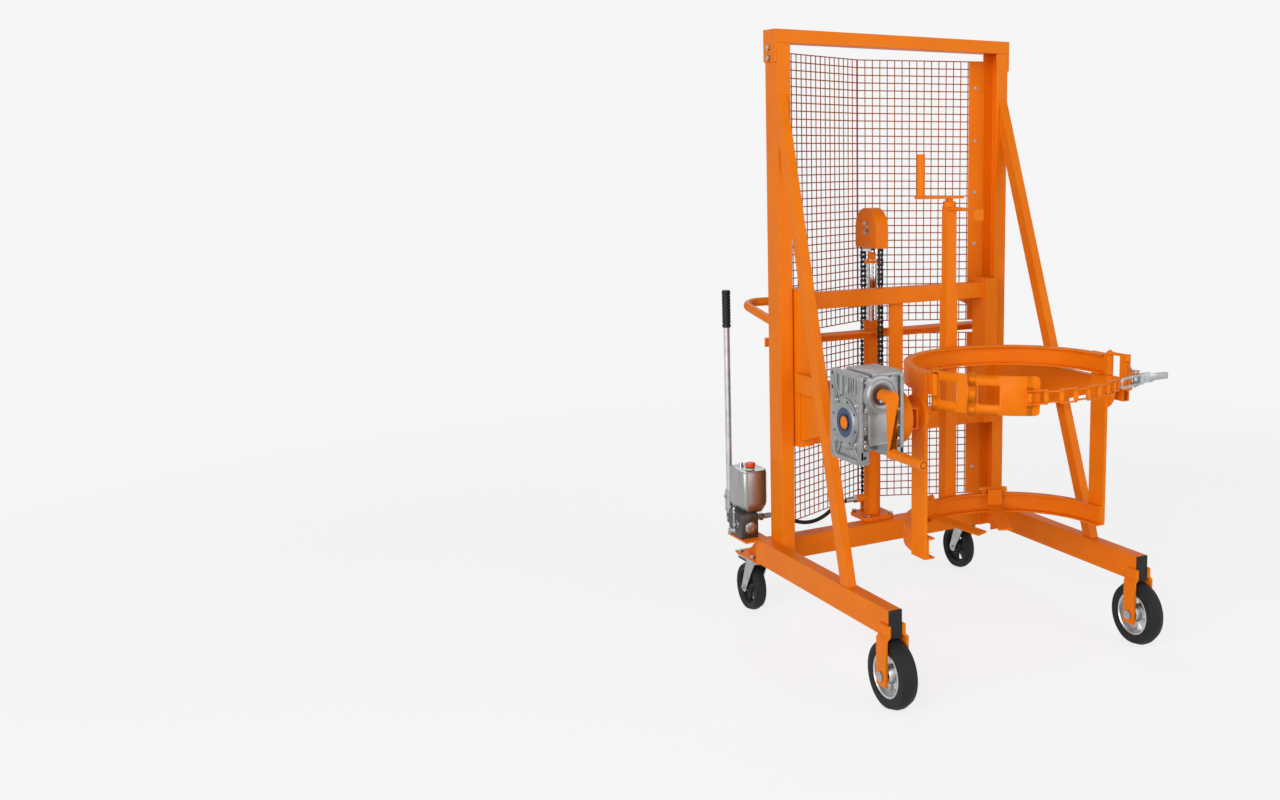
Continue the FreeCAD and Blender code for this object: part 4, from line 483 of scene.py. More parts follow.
# Widths of the rounded edges; 0 leaves the edges sharp
SOFT_EDGES = {
    1.8: ("left_post", "right_post", "left_arm", "right_arm", "left_side_bar", "right_side_bar", "crossbar",
          "carriage_frame", "top_beam", "rear_cross_beam", "sheave_housing", "hook_bar"),
    1.4: ("left_leg", "right_leg", "braces", "hook_post_tube"),
    1.2: ("rear_brackets", "upper_ring", "lower_ring", "left_foot", "right_foot", "right_link", "hand_crank",
          "hook_crank", "lift_cylinder", "leg_end_caps", "guard_strips", "push_handle", "front_wheel_forks",
          "bolts_and_castor_plates", "castor_brake_left", "castor_brake_right"),
    0.8: ("castor_fork_left", "castor_fork_right"),
    0.0: ("belt_link_inner", "belt_link_outer"),
}


def dress_nodes():
    for subpart in frame["record"]["subparts"]:
        item = NODES[subpart["node"]]
        item.data.materials.clear()
        item.data.materials.append(PAINTS[subpart["material_slot"]])


def soften(node, width):
    """Rounds a CAD node's edges and evens its shading, with its own mesh left as it is."""
    item = NODES[node]
    item.data.shade_smooth()
    item.modifiers.new("weld", "WELD").merge_threshold = WELD_GAP
    flat = item.modifiers.new("flat", "DECIMATE")
    flat.decimate_type = "DISSOLVE"
    flat.angle_limit = FLAT_ANGLE
    if width:
        round_off = item.modifiers.new("round", "BEVEL")
        round_off.width = width * MM
        round_off.segments = EDGE_STEPS
        round_off.limit_method = "ANGLE"
        round_off.angle_limit = EDGE_ANGLE
        round_off.use_clamp_overlap = False
    item.modifiers.new("even", "WEIGHTED_NORMAL").keep_sharp = not width


# Hose from the pump to the lift cylinder

HOSE_POINTS = [(-438, 145, 345), (-372, 145, 345), (-288, 143, 297), (-205, 150, 300), (-130, 168, 345),
               (-64, 168, 345)]
HOSE_RADIUS = 6.5
HOSE_ORDER, HOSE_STEPS, HOSE_ROUND = 3, 24, 8
UNION_RADIUS, UNION_LENGTH = 13, 12
CRIMPS, CRIMP_PITCH, CRIMP_LENGTH, CRIMP_RADIUS, CRIMP_FIT = 4, 7, 6.4, 9.2, 0.2


def hose():
    data = bpy.data.curves.new("hydraulic_hose_line", "CURVE")
    data.dimensions = "3D"
    spline = data.splines.new("NURBS")
    spline.points.add(len(HOSE_POINTS) - 1)
    for control, point in zip(spline.points, HOSE_POINTS):
        control.co = (*metres(point), 1)
    spline.order_u = HOSE_ORDER
    spline.use_endpoint_u = True
    spline.resolution_u = HOSE_STEPS
    data.bevel_depth = HOSE_RADIUS * MM
    data.bevel_resolution = HOSE_ROUND
    data.use_fill_caps = True
    data.materials.append(PAINTS["black_rubber"])
    item = placed("hose_line", data)
    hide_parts("hydraulic_hose")
    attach(item, "frame")


def hose_ends():
    """Crimped sleeves and union nuts at both ends of the hose."""
    mesh = bmesh.new()
    for end, way in ((HOSE_POINTS[0], X), (HOSE_POINTS[-1], -X)):
        end = Vector(end)
        hexagon(mesh, end, way, UNION_RADIUS, UNION_LENGTH)
        for ring in range(CRIMPS):
            start = end + way * (UNION_LENGTH + ring * CRIMP_PITCH)
            tube(mesh, start, start + way * CRIMP_LENGTH, CRIMP_RADIUS, HOSE_RADIUS + CRIMP_FIT, edge=1.2)
    piece("hose_unions", mesh, ["zinc"], "frame")


# Wire guard

MESH_PITCH = 25.0
MESH_WIRE, WIRE_SIDES = 1.8, 6
GUARD_PLAN = [(-388, 84), (0, 258), (388, 84)]
GUARD_LEVELS = [(324, 896), (942, 1816)]


def guard():
    """Welded wire folded once, with the uprights behind the rails."""
    mesh = bmesh.new()
    for bottom, top in GUARD_LEVELS:
        rows = round((top - bottom) / MESH_PITCH)
        for row in range(rows + 1):
            height = bottom + (top - bottom) * row / rows
            pipe(mesh, [(x, y, height) for x, y in GUARD_PLAN], MESH_WIRE, WIRE_SIDES)
        for start, end in zip(GUARD_PLAN, GUARD_PLAN[1:]):
            start, end = Vector((*start, 0)), Vector((*end, 0))
            along = end - start
            behind = Vector((-along.y, along.x, 0)).normalized() * 2 * MESH_WIRE
            columns = round(along.length / MESH_PITCH)
            for column in range(columns + 1):
                foot = start + along * column / columns + behind
                pipe(mesh, [foot + Z * bottom, foot + Z * top], MESH_WIRE, WIRE_SIDES)
    piece("wire_guard", mesh, ["mesh_wire"], "frame", ["mesh_guard"])


# Lift chains

CHAIN_PITCH = 15.875
CHAIN_END = 7
PLATE_RADIUS, PLATE_WAIST, PLATE_THICK = 6.6, 4.4, 1.8
INNER_PLATE, OUTER_PLATE = 5.4, 7.6
ROLLER_RADIUS, PIN_RADIUS, PIN_INSET = 4.6, 2.6, 0.2
LINK_STEPS = 8


def link_plate(mesh, x, y, low, high):
    """One waisted side plate between two pins."""
    outline = []
    for centre, first in ((high, 0), (low, math.pi)):
        for step in range(LINK_STEPS + 1):
            angle = first + math.pi * step / LINK_STEPS
            outline.append((x, y + PLATE_RADIUS * math.cos(angle), centre + PLATE_RADIUS * math.sin(angle)))
        waist = PLATE_WAIST if first else -PLATE_WAIST
        outline.append((x, y + waist, (low + high) / 2))
    prism(mesh, outline, (PLATE_THICK, 0, 0), edge=0)


def chain_strand(node):
    """A roller chain link by link, from the strand's top to its foot."""
    low, high = span(node)
    y = (low.y + high.y) / 2
    top, bottom = high.z - CHAIN_END, low.z + CHAIN_END
    links = round((top - bottom) / CHAIN_PITCH)
    pitch = (top - bottom) / links
    reach = high.x - PIN_INSET
    mesh = bmesh.new()
    for index in range(links):
        z = bottom + pitch * index
        seat = INNER_PLATE if index % 2 else OUTER_PLATE
        for x in (-seat - PLATE_THICK / 2, seat - PLATE_THICK / 2):
            link_plate(mesh, x, y, z, z + pitch)
    for index in range(links + 1):
        z = bottom + pitch * index
        rod(mesh, (-INNER_PLATE, y, z), (INNER_PLATE, y, z), ROLLER_RADIUS, 0.4, sides=14)
        rod(mesh, (-reach, y, z), (reach, y, z), PIN_RADIUS, 0.5, sides=10)
    item = piece(f"{node}_links", mesh, ["chain_steel"], replaces=[node])
    middle = (low + high) / 2
    start, end = Vector(middle), Vector(middle)
    start.z, end.z = top, bottom
    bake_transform(item)


# Belt chain

RING_MIDDLE = Vector((0, -630, 0))
BELT_PIN_COUNT = 9
# The first pin as radius and degrees round the ring's middle, the last one as x and y from it
BELT_PIN_FIRST = (333.0, 240.2)
BELT_PIN_LAST = (168.0, -260.0)
BELT_CHAIN_LEVELS = (862.0, 902.0)
BELT_PIN_RADIUS, BELT_PIN_END = 3.4, 1
LINK_HALF, LINK_THICK, LINK_PLAY, LINK_ROLLER = 4.6, 3.4, 0.4, 7.0


def round_ring(radius, degrees, height):
    """A place round the drum's middle."""
    angle = math.radians(degrees)
    return RING_MIDDLE + Vector((radius * math.cos(angle), radius * math.sin(angle), height))


def belt_pins():
    first_radius, first_angle = BELT_PIN_FIRST
    last_radius = math.hypot(*BELT_PIN_LAST)
    last_angle = 360 + math.degrees(math.atan2(BELT_PIN_LAST[1], BELT_PIN_LAST[0]))
    pins = []
    for index in range(BELT_PIN_COUNT):
        share = index / (BELT_PIN_COUNT - 1)
        radius = first_radius + share * (last_radius - first_radius)
        pins.append(round_ring(radius, first_angle + share * (last_angle - first_angle), 0))
    return pins


def flat_link(mesh, start, end, low):
    """A strip with round ends between two pins."""
    along = (end - start).normalized()
    side = Vector((-along.y, along.x, 0))
    outline = []
    for centre, way in ((end, 1), (start, -1)):
        for step in range(LINK_STEPS + 1):
            angle = -math.pi / 2 + math.pi * step / LINK_STEPS
            offset = along * (math.cos(angle) * way) + side * (math.sin(angle) * way)
            outline.append(centre + offset * LINK_HALF + Z * low)
    prism(mesh, outline, Z * LINK_THICK, edge=0.7)


def belt_chain():
    """Strips in pairs, outside and inside by turns, with rollers on the pins."""
    mesh = bmesh.new()
    bottom, top = BELT_CHAIN_LEVELS
    pins = belt_pins()
    for index, (start, end) in enumerate(zip(pins, pins[1:])):
        inset = LINK_THICK + LINK_PLAY if index % 2 else 0
        flat_link(mesh, start, end, bottom + inset)
        flat_link(mesh, start, end, top - inset - LINK_THICK)
    pin_low, pin_high = Z * (bottom - BELT_PIN_END), Z * (top + BELT_PIN_END)
    strips = 2 * LINK_THICK + BELT_PIN_END
    for pin in pins:
        rod(mesh, pin + pin_low, pin + pin_high, BELT_PIN_RADIUS, 0.8, sides=20)
        rod(mesh, pin + Z * (bottom + strips), pin + Z * (top - strips), LINK_ROLLER, 0.8)
    piece("belt_chain_links", mesh, ["orange_paint"], "belt_chain", ["belt_chain"])


# Latch

LATCH_HINGE = Vector((318, -760, 0))
LATCH_ALONG = Vector((-56, -75, 0)).normalized()
LATCH_OUT = Vector((75, -56, 0)).normalized()
LATCH_MIDDLE = 880.0
LATCH_LEVER_PIN = 93.6
LATCH_LIFT = 14.5
HOOK_PIN_LIFT = 32.5
LEAF_THICK, BARREL_RADIUS, BARREL_BORE = 5, 9, 4.2
BASE_CORNER, BASE_SEAT, BASE_THICK = 4, 2.6, 3
EAR_OUTLINE = [(50, 3), (56, 18), (68, 30), (100, 25), (104, 14), (94, 3)]
EAR_LEVELS, EAR_THICK = (-20.6, 16.6), 4
BASE_BOLTS = ((54, -29), (54, 24), (87, -29), (87, 24))
BASE_BOLT_SEAT, BASE_BOLT_RADIUS = 2.4, 5.4
LEVER_PIN_RADIUS, LEVER_PIN_HALF = 4.4, 25
SHEET = 3
LEVER_WIDE, LEVER_NARROW = 14.0, 9.0
PIVOT_HALF, PIVOT_RADIUS, HOOK_TUBE, HOOK_TUBE_BORE = 15, 7.5, 8, 4.6
CHEEK_LEVEL = 11.5


def on_latch(along, out, height):
    """A place on the latch plate: along it from the hinge, out from its middle, and up."""
    return LATCH_HINGE + LATCH_ALONG * along + LATCH_OUT * out + Z * height


def latch_plate():
    """The orange leaf with its barrel, and the zinc base of the toggle bolted on it."""
    low, high = span("latch_plate")
    mesh = bmesh.new()
    lower, upper = low.z, high.z
    leaf = [(7, lower), (58, lower), (88, lower), (94, lower + 6), (94, upper - 22), (88, upper - 16),
            (62, upper - 14), (44, upper - 11), (30, upper - 5), (20, upper), (7, upper)]
    leaf = [on_latch(along, -LEAF_THICK / 2, height) for along, height in leaf]
    prism(mesh, leaf, LATCH_OUT * LEAF_THICK, edge=1.0)
    tube(mesh, on_latch(0, 0, lower), on_latch(0, 0, upper), BARREL_RADIUS, BARREL_BORE, 1.2)
    base = rounded((48, LATCH_MIDDLE - 24), (93, LATCH_MIDDLE + 20), BASE_CORNER)
    base = [on_latch(along, BASE_SEAT, height) for along, height in base]
    prism(mesh, base, LATCH_OUT * BASE_THICK, edge=0.8, paint=1)
    for level in EAR_LEVELS:
        ear = [on_latch(along, out, LATCH_MIDDLE + level) for along, out in EAR_OUTLINE]
        prism(mesh, ear, Z * EAR_THICK, edge=0.8, paint=1)
    for along, level in BASE_BOLTS:
        bolt(mesh, on_latch(along, BASE_BOLT_SEAT, LATCH_MIDDLE + level), LATCH_OUT, BASE_BOLT_RADIUS, 1)
    pin_low = on_latch(LATCH_LEVER_PIN, LATCH_LIFT, LATCH_MIDDLE - LEVER_PIN_HALF)
    pin_high = on_latch(LATCH_LEVER_PIN, LATCH_LIFT, LATCH_MIDDLE + LEVER_PIN_HALF)
    rod(mesh, pin_low, pin_high, LEVER_PIN_RADIUS, 1.2, 1)
    piece("latch_leaf", mesh, ["orange_paint", "zinc"], "latch_plate", ["latch_plate"])


def latch_lever():
    """A channel pressed from sheet that narrows to a bar, with the hook's cross tube."""
    end = span("latch_lever")[1].x
    pivot = on_latch(LATCH_LEVER_PIN, LATCH_LIFT, 0)
    start, knee, neck = pivot.x - 9, pivot.x + 58, pivot.x + 72
    front, back = pivot.y - 7, pivot.y + 9
    middle = LATCH_MIDDLE
    half = [(start, LEVER_WIDE), (knee, LEVER_WIDE), (neck, LEVER_NARROW), (end, LEVER_NARROW)]
    outline = [(x, middle - z) for x, z in half] + [(x, middle + z) for x, z in reversed(half)]
    mesh = bmesh.new()
    prism(mesh, [(x, front, z) for x, z in outline], (0, SHEET, 0), edge=0.8)
    for side in (-1, 1):
        border = [(x, middle + side * z) for x, z in half]
        inward = -side * SHEET
        for (first_x, first_z), (last_x, last_z) in zip(border, border[1:]):
            strip = [(first_x, first_z), (last_x, last_z), (last_x, last_z + inward),
                     (first_x, first_z + inward)]
            prism(mesh, [(x, front + 1, z) for x, z in strip], (0, back - front - 1, 0), edge=0.6)
        for rib in (0.36, 0.72):
            height = middle + side * LEVER_WIDE * rib
            rod(mesh, (start + 14, front - 0.2, height), (knee - 8, front - 0.2, height), 1.6, 0.6, sides=12)
    hook_pin = on_latch(LATCH_LEVER_PIN, HOOK_PIN_LIFT, 0)
    lower, upper = Z * (middle - PIVOT_HALF), Z * (middle + PIVOT_HALF)
    tube(mesh, hook_pin + lower, hook_pin + upper, HOOK_TUBE, HOOK_TUBE_BORE, 1)
    cheek = [pivot + LATCH_ALONG * 7, pivot - LATCH_ALONG * 9, hook_pin - LATCH_ALONG * 6,
             hook_pin + LATCH_ALONG * 6]
    for side in (-1, 1):
        height = middle + side * CHEEK_LEVEL - SHEET / 2
        prism(mesh, [point + Z * height for point in cheek], Z * SHEET, edge=0.6)
    rod(mesh, pivot + lower, pivot + upper, PIVOT_RADIUS, 1, sides=28)
    piece("latch_handle", mesh, ["zinc"], "latch_lever", ["latch_lever"])


# Hinge pins, bolts and screws that show on painted pieces

FOOT_DEGREES = (64.0, 112.0)
FOOT_PIN_PLACE, FOOT_PIN_HEIGHT, FOOT_PIN_HALF = 310.0, 466.0, 43.0
FOOT_PIN_RADIUS, FOOT_PIN_HEAD, SPLIT_PIN_HALF, SPLIT_PIN_INSET = 4.4, 6.4, 8, 2
CRANK_SCREW_WAY = Vector((-0.8, 0, -0.6))
CRANK_SCREW_INSET, CRANK_SCREW_SEAT, CRANK_SCREW_RADIUS = 16, 17, 5.2
GRIP_MIDDLE, GRIP_RIM, GRIP_BORE, GRIP_PIN = 15, 13.3, 9.6, 7.4
SHEAVE_DROP, SHEAVE_FACE = 66, 8
RAM_DROP, CLEVIS_DROP = 118.0, 24.6
RAM_NECK = [(0, -0.4), (22, -0.4), (24.4, 1.6), (24.4, 11), (22.5, 13.4), (13.4, 15), (13.4, 38), (17, 40.6),
            (0, 40.6)]
RAM_CLEVIS = [(0, 0), (19.5, 0), (20.3, 1), (20.3, 13), (0, 14)]
STRIP_BOLT_GAP, STRIP_BOLT_RADIUS = 190.0, 4.6
STRIP_BOLT_ALONG, STRIP_BOLT_STAND = 26, 4.2


def foot_pins():
    """Brass pins with a head at one end and a split pin at the other."""
    mesh = bmesh.new()
    for degrees in FOOT_DEGREES:
        middle = round_ring(FOOT_PIN_PLACE, degrees, FOOT_PIN_HEIGHT)
        turn = math.radians(degrees)
        along = Vector((-math.sin(turn), math.cos(turn), 0))
        start, end = middle - along * FOOT_PIN_HALF, middle + along * FOOT_PIN_HALF
        rod(mesh, start, end, FOOT_PIN_RADIUS, 0.8, sides=24)
        rod(mesh, end - along * 4, end + along, FOOT_PIN_HEAD, 1.2, sides=24)
        split, half = start + along * SPLIT_PIN_INSET, Z * SPLIT_PIN_HALF
        tube(mesh, split - half, split + half, 1.6, 0.6, 0.3, sides=12)
    piece("foot_pins", mesh, ["brass"], "clamp", slot="zinc")


def crank_details():
    """A set screw in the crank's sleeve and the end of the turning grip."""
    low, high = span("hand_crank")
    shaft = middle_of("worm_shaft")
    mesh = bmesh.new()
    sleeve = Vector((shaft.x, high.y - CRANK_SCREW_INSET, shaft.z))
    bolt(mesh, sleeve + CRANK_SCREW_WAY * CRANK_SCREW_SEAT, CRANK_SCREW_WAY, CRANK_SCREW_RADIUS)
    grip = Vector((shaft.x, low.y, low.z + GRIP_MIDDLE))
    tube(mesh, grip - Y * 0.6, grip + Y * 4, GRIP_RIM, GRIP_BORE, 0.5, paint=1)
    # a near-black disc across the grip's bore: painted shade for the gap around the pin
    rod(mesh, grip - Y * 0.1, grip + Y, GRIP_BORE + 0.1, 0.1, paint=2)
    rod(mesh, grip - Y * 1.2, grip + Y * 3, GRIP_PIN, 0.6, paint=1)
    piece("crank_screw_and_grip_end", mesh, ["zinc", "orange_paint", "painted_hole_shade"], "crank")


def sheave_bolts():
    """A washer, a nut and the axle's end on both sides of the sheave housing."""
    low, high = span("sheave_housing")
    middle = (low + high) / 2
    mesh = bmesh.new()
    for face, way in ((low.x + SHEAVE_FACE, -X), (high.x - SHEAVE_FACE, X)):
        start = Vector((face, middle.y, high.z - SHEAVE_DROP))
        rod(mesh, start, start + way * 2.4, 21, 0.6, sides=36)
        hexagon(mesh, start + way * 2.2, way, 17.5, 5.4)
        rod(mesh, start + way * 7, start + way * 7.9, 8, 0.4, sides=24)
    piece("sheave_bolts", mesh, ["zinc"], "ram")


def ram_head():
    """The painted collar, neck and clevis on top of the bright ram."""
    ram_top = span("ram_rod")[1].z
    housing_top = span("sheave_housing")[1].z
    middle = middle_of("sheave_housing")
    mesh = bmesh.new()
    lathe(mesh, (middle.x, middle.y, housing_top - SHEAVE_DROP - RAM_DROP), Z, RAM_NECK)
    lathe(mesh, (middle.x, middle.y, ram_top - CLEVIS_DROP), Z, RAM_CLEVIS)
    piece("ram_head", mesh, ["orange_paint"], "ram")


def strip_bolts():
    """Small screws that hold the guard's strips and wire on the mast."""
    mesh = bmesh.new()
    (start_x, start_y), (fold_x, fold_y) = GUARD_PLAN[0], GUARD_PLAN[1]
    for side in SIDES.values():
        along = Vector((fold_x - start_x, fold_y - start_y, 0)).normalized()
        inward = Vector((along.y, -along.x, 0))
        along.x, inward.x = -side * along.x, -side * inward.x
        corner = Vector((side * abs(start_x), start_y, 0))
        foot = corner + along * STRIP_BOLT_ALONG + inward * STRIP_BOLT_STAND
        for bottom, top in GUARD_LEVELS:
            count = round((top - bottom) / STRIP_BOLT_GAP)
            for index in range(count):
                height = bottom + (index + 0.5) * (top - bottom) / count
                bolt(mesh, foot + Z * height, inward, STRIP_BOLT_RADIUS)
    piece("strip_bolts", mesh, ["zinc"], "frame")


# Wheels

SPOKES, POCKET_SHARE = 5, 0.56
WHEEL_SIDES = 72
SHOULDER, CROWN = 0.24, 0.14


def both_faces(profile, width):
    """A profile with its mirror image on the wheel's other face."""
    return profile + [(size, width - along) for size, along in reversed(profile)]


def wheel(name, rim, hub, bore, web, disc):
    """A rubber tyre with chamfered shoulders on a disc with pockets between broad spokes."""
    low, high = span(name)
    middle = (low + high) / 2
    radius, width = (high.z - low.z) / 2, high.x - low.x
    start = Vector((low.x, middle.y, middle.z))
    shoulder, crown = width * SHOULDER, width * CROWN
    side = [(rim + 0.5, 3), (rim + 4, 0.6), (rim + 9, 0), (radius - shoulder * 0.62, 0.8),
            (radius - crown * 0.4, shoulder), (radius, shoulder + crown)]
    mesh = bmesh.new()
    lathe(mesh, start, X, both_faces(side, width), sides=WHEEL_SIDES, closed=True)
    lip = [(rim, 2.5), (rim - 3, 1.2), (rim - 6, 4), (rim - 8, (width - web) / 2)]
    nave = [(hub + 5, (width - web) / 2), (hub, 5), (hub - 2, 2), (bore, 2)]
    spoked = bmesh.new()
    lathe(spoked, start, X, both_faces(lip + nave, width), sides=WHEEL_SIDES, closed=True)
    pockets = bmesh.new()
    inner, outer = hub + 6, rim - 9
    for spoke in range(SPOKES):
        centre = math.tau * (spoke + 0.5) / SPOKES
        outline = []
        for size, spread in ((inner, 0.34), (outer, 0.5), (outer, -0.5), (inner, -0.34)):
            angle = centre + spread * math.tau / SPOKES * POCKET_SHARE
            across, up = size * math.cos(angle), size * math.sin(angle)
            outline.append((low.x - OVERRUN, middle.y + across, middle.z + up))
        prism(pockets, outline, (width + 2 * OVERRUN, 0, 0), edge=2.5)
    join(mesh, carved(spoked, pockets), paint=1)
    piece(f"{name}_dressed", mesh, ["black_rubber", disc], name, [name])


# Gearbox

CASTING, BLUE, DARK, BROWN, BRIGHT = range(5)
INPUT_BOSS, COVER_STAND, COVER_SUNK = 10.0, 8.0, 3
FLANGE, FLANGE_CORNER, FLANGE_HOLE = 11.0, 14, 5.5
RECESS, RECESS_BORDER, RECESS_CORNER, RECESS_START = 7.0, 26.0, 12, 2
BEARING_RING = [(58, 0), (58, RECESS), (60, RECESS + 0.6), (70, RECESS + 0.6), (74, RECESS - 3), (76, 0)]
FINS, FIN_FIRST, FIN_GAP, FIN_THICK, FIN_FOOT = 5, 17, 12.0, 5, 82
COLUMN_INSET, COLUMN_FOOT, COLUMN_RADIUS = 50, 70, 8
RIB_ANGLES = (38, 58, 122, 142, 218, 240, 300, 322)
RIB_INNER, RIB_HALF, RIB_ACROSS, RIB_UP = 70, 3, 64, 92
DRUM_RADIUS, WORM_RADIUS = 68, 50
WORM_FINS, WORM_FIN_FIRST, WORM_FIN_GAP, WORM_FIN_RADIUS = 6, 26, 11, 54
FOOT_DEEP, FOOT_HIGH, FOOT_HOLE, FOOT_HOLE_HEIGHT = 22, 40, 5, 21
SCREWS, SCREW_RING, SCREW_RADIUS, SCREW_TURN = 8, 59.5, 3.6, 0.28
LUG_ANGLES = [math.radians(degrees) for degrees in (45, 135, 225, 315)]
LUG_RING = 74


def side_plate(x_low, x_high, low, high):
    """One square side flange of the gearbox with six holes."""
    mesh = bmesh.new()
    outline = [(x_low, y, z) for y, z in rounded((low.y, low.z), (high.y, high.z), FLANGE_CORNER)]
    prism(mesh, outline, (x_high - x_low, 0, 0), edge=1.5)
    tool = bmesh.new()
    for y in (low.y + 13, high.y - 13):
        for z in (low.z + 14, high.z - 52, high.z - 14):
            rod(tool, (x_low - OVERRUN, y, z), (x_high + OVERRUN, y, z), FLANGE_HOLE, 0.5, sides=20)
    return carved(mesh, tool)


def recessed(mesh, face, low, high):
    """Sinks the middle of a side flange below its border."""
    tool = bmesh.new()
    corners = rounded((low.y + RECESS_BORDER / 2, low.z + RECESS_BORDER / 2),
                      (high.y - RECESS_BORDER, high.z - RECESS_BORDER / 2), RECESS_CORNER)
    prism(tool, [(face - RECESS_START, y, z) for y, z in corners], (RECESS + RECESS_START, 0, 0), edge=0)
    return carved(mesh, tool)


def side_relief(mesh, face, low, high, centre):
    """The bearing ring, fins, column and ribs inside the recess."""
    floor, top = face + RECESS + 1, high.z - RECESS_BORDER / 2
    start = Vector((floor, centre.y, centre.z))
    lathe(mesh, start, -X, BEARING_RING, CASTING, 64, closed=True)
    for fin in range(FINS):
        y = low.y + FIN_FIRST + fin * FIN_GAP
        block(mesh, (face + 1, y, centre.z + FIN_FOOT), (floor, y + FIN_THICK, top), edge=1.4)
    column = high.y - COLUMN_INSET
    rod(mesh, (floor, column, centre.z + COLUMN_FOOT), (floor, column, top), COLUMN_RADIUS, 1, sides=24)
    for degrees in RIB_ANGLES:
        angle = math.radians(degrees)
        out = Y * math.cos(angle) + Z * math.sin(angle)
        side = (Z * math.cos(angle) - Y * math.sin(angle)) * RIB_HALF
        reach = min(RIB_ACROSS / abs(math.cos(angle)), RIB_UP / abs(math.sin(angle)))
        near, far = start + out * RIB_INNER, start + out * reach
        prism(mesh, [near - side, far - side, far + side, near + side], X * (2 - RECESS), edge=1.2)


def round_cover(mesh, start, reach):
    """The bolted round cover over the output bearing, with its seal and hollow shaft."""
    cover = [(40, 2), (40, reach - 3), (43, reach - 1.2), (50, reach - 0.6), (53, reach - 1),
             (54.5, reach - 3), (63, reach - 3.4), (66, reach - 5), (66.5, 0), (41, 0)]
    seal = [(24, 2), (24, reach - 3.2), (40.2, reach - 3.2), (40.2, 2)]
    shaft = [(18.2, 2), (18.2, reach - 1), (19.4, reach - 0.2), (23, reach - 0.2), (24.2, reach - 1.2),
             (24.2, 2)]
    lathe(mesh, start, -X, cover, CASTING, 64, closed=True)
    lathe(mesh, start, -X, seal, BLUE, 64, closed=True)
    lathe(mesh, start, -X, shaft, DARK, 48, closed=True)
    for index in range(SCREWS):
        angle = SCREW_TURN + math.tau * index / SCREWS
        foot = start - X * (reach - 5) + (Y * math.cos(angle) + Z * math.sin(angle)) * SCREW_RING
        rod(mesh, foot, foot - X * SCREW_RADIUS * 0.8, SCREW_RADIUS, SCREW_RADIUS * 0.2, DARK, sides=16)
    for angle in LUG_ANGLES:
        middle = start + (Y * math.cos(angle) + Z * math.sin(angle)) * LUG_RING
        rod(mesh, middle + X * 6, middle - X * (reach - 7), 9, 1.5, CASTING, sides=24)
        rod(mesh, middle, middle - X * (reach - 4.4), 4.6, 1, BRIGHT, sides=16)


def input_flange(mesh, centre):
    """The lugged motor flange at the worm's end with its dark seal."""
    boss = INPUT_BOSS
    for angle in LUG_ANGLES:
        out = X * math.cos(angle) + Z * math.sin(angle)
        side = Z * math.cos(angle) - X * math.sin(angle)
        near, far = centre + out * 30 + Y * 6, centre + out * 62 + Y * 6
        outline = [near - side * 15, far - side * 10, far + side * 10, near + side * 15]
        prism(mesh, outline, Y * -10, edge=2)
    ring = [(27, -4), (27, boss - 3), (30, boss - 1), (38, boss), (41, boss - 1.5), (44, boss - 5),
            (52, boss - 6), (54, -4)]
    seal = [(12.4, -2), (12.4, boss - 3.4), (27.4, boss - 3.4), (27.4, -2)]
    lathe(mesh, centre, -Y, ring, CASTING, 64, closed=True)
    lathe(mesh, centre, -Y, seal, BROWN, 48, closed=True)


def gearbox_feet(low, high, front, outer):
    """Four feet under the side flanges with holes through them."""
    feet, holes = bmesh.new(), bmesh.new()
    bottom, top = low.z + 1, low.z + FOOT_HIGH
    for x_low, x_high in ((outer + 1, outer + 28), (high.x - 30, high.x - 1)):
        block(feet, (x_low, front, bottom), (x_high, front + FOOT_DEEP, top), edge=2.5)
        block(feet, (x_low, high.y - FOOT_DEEP, bottom), (x_high, high.y, top), edge=2.5)
    z = low.z + FOOT_HOLE_HEIGHT
    for x in (outer + 15, high.x - 15):
        rod(holes, (x, front - OVERRUN, z), (x, high.y + OVERRUN, z), FOOT_HOLE, 0.4, sides=20)
    return carved(feet, holes)


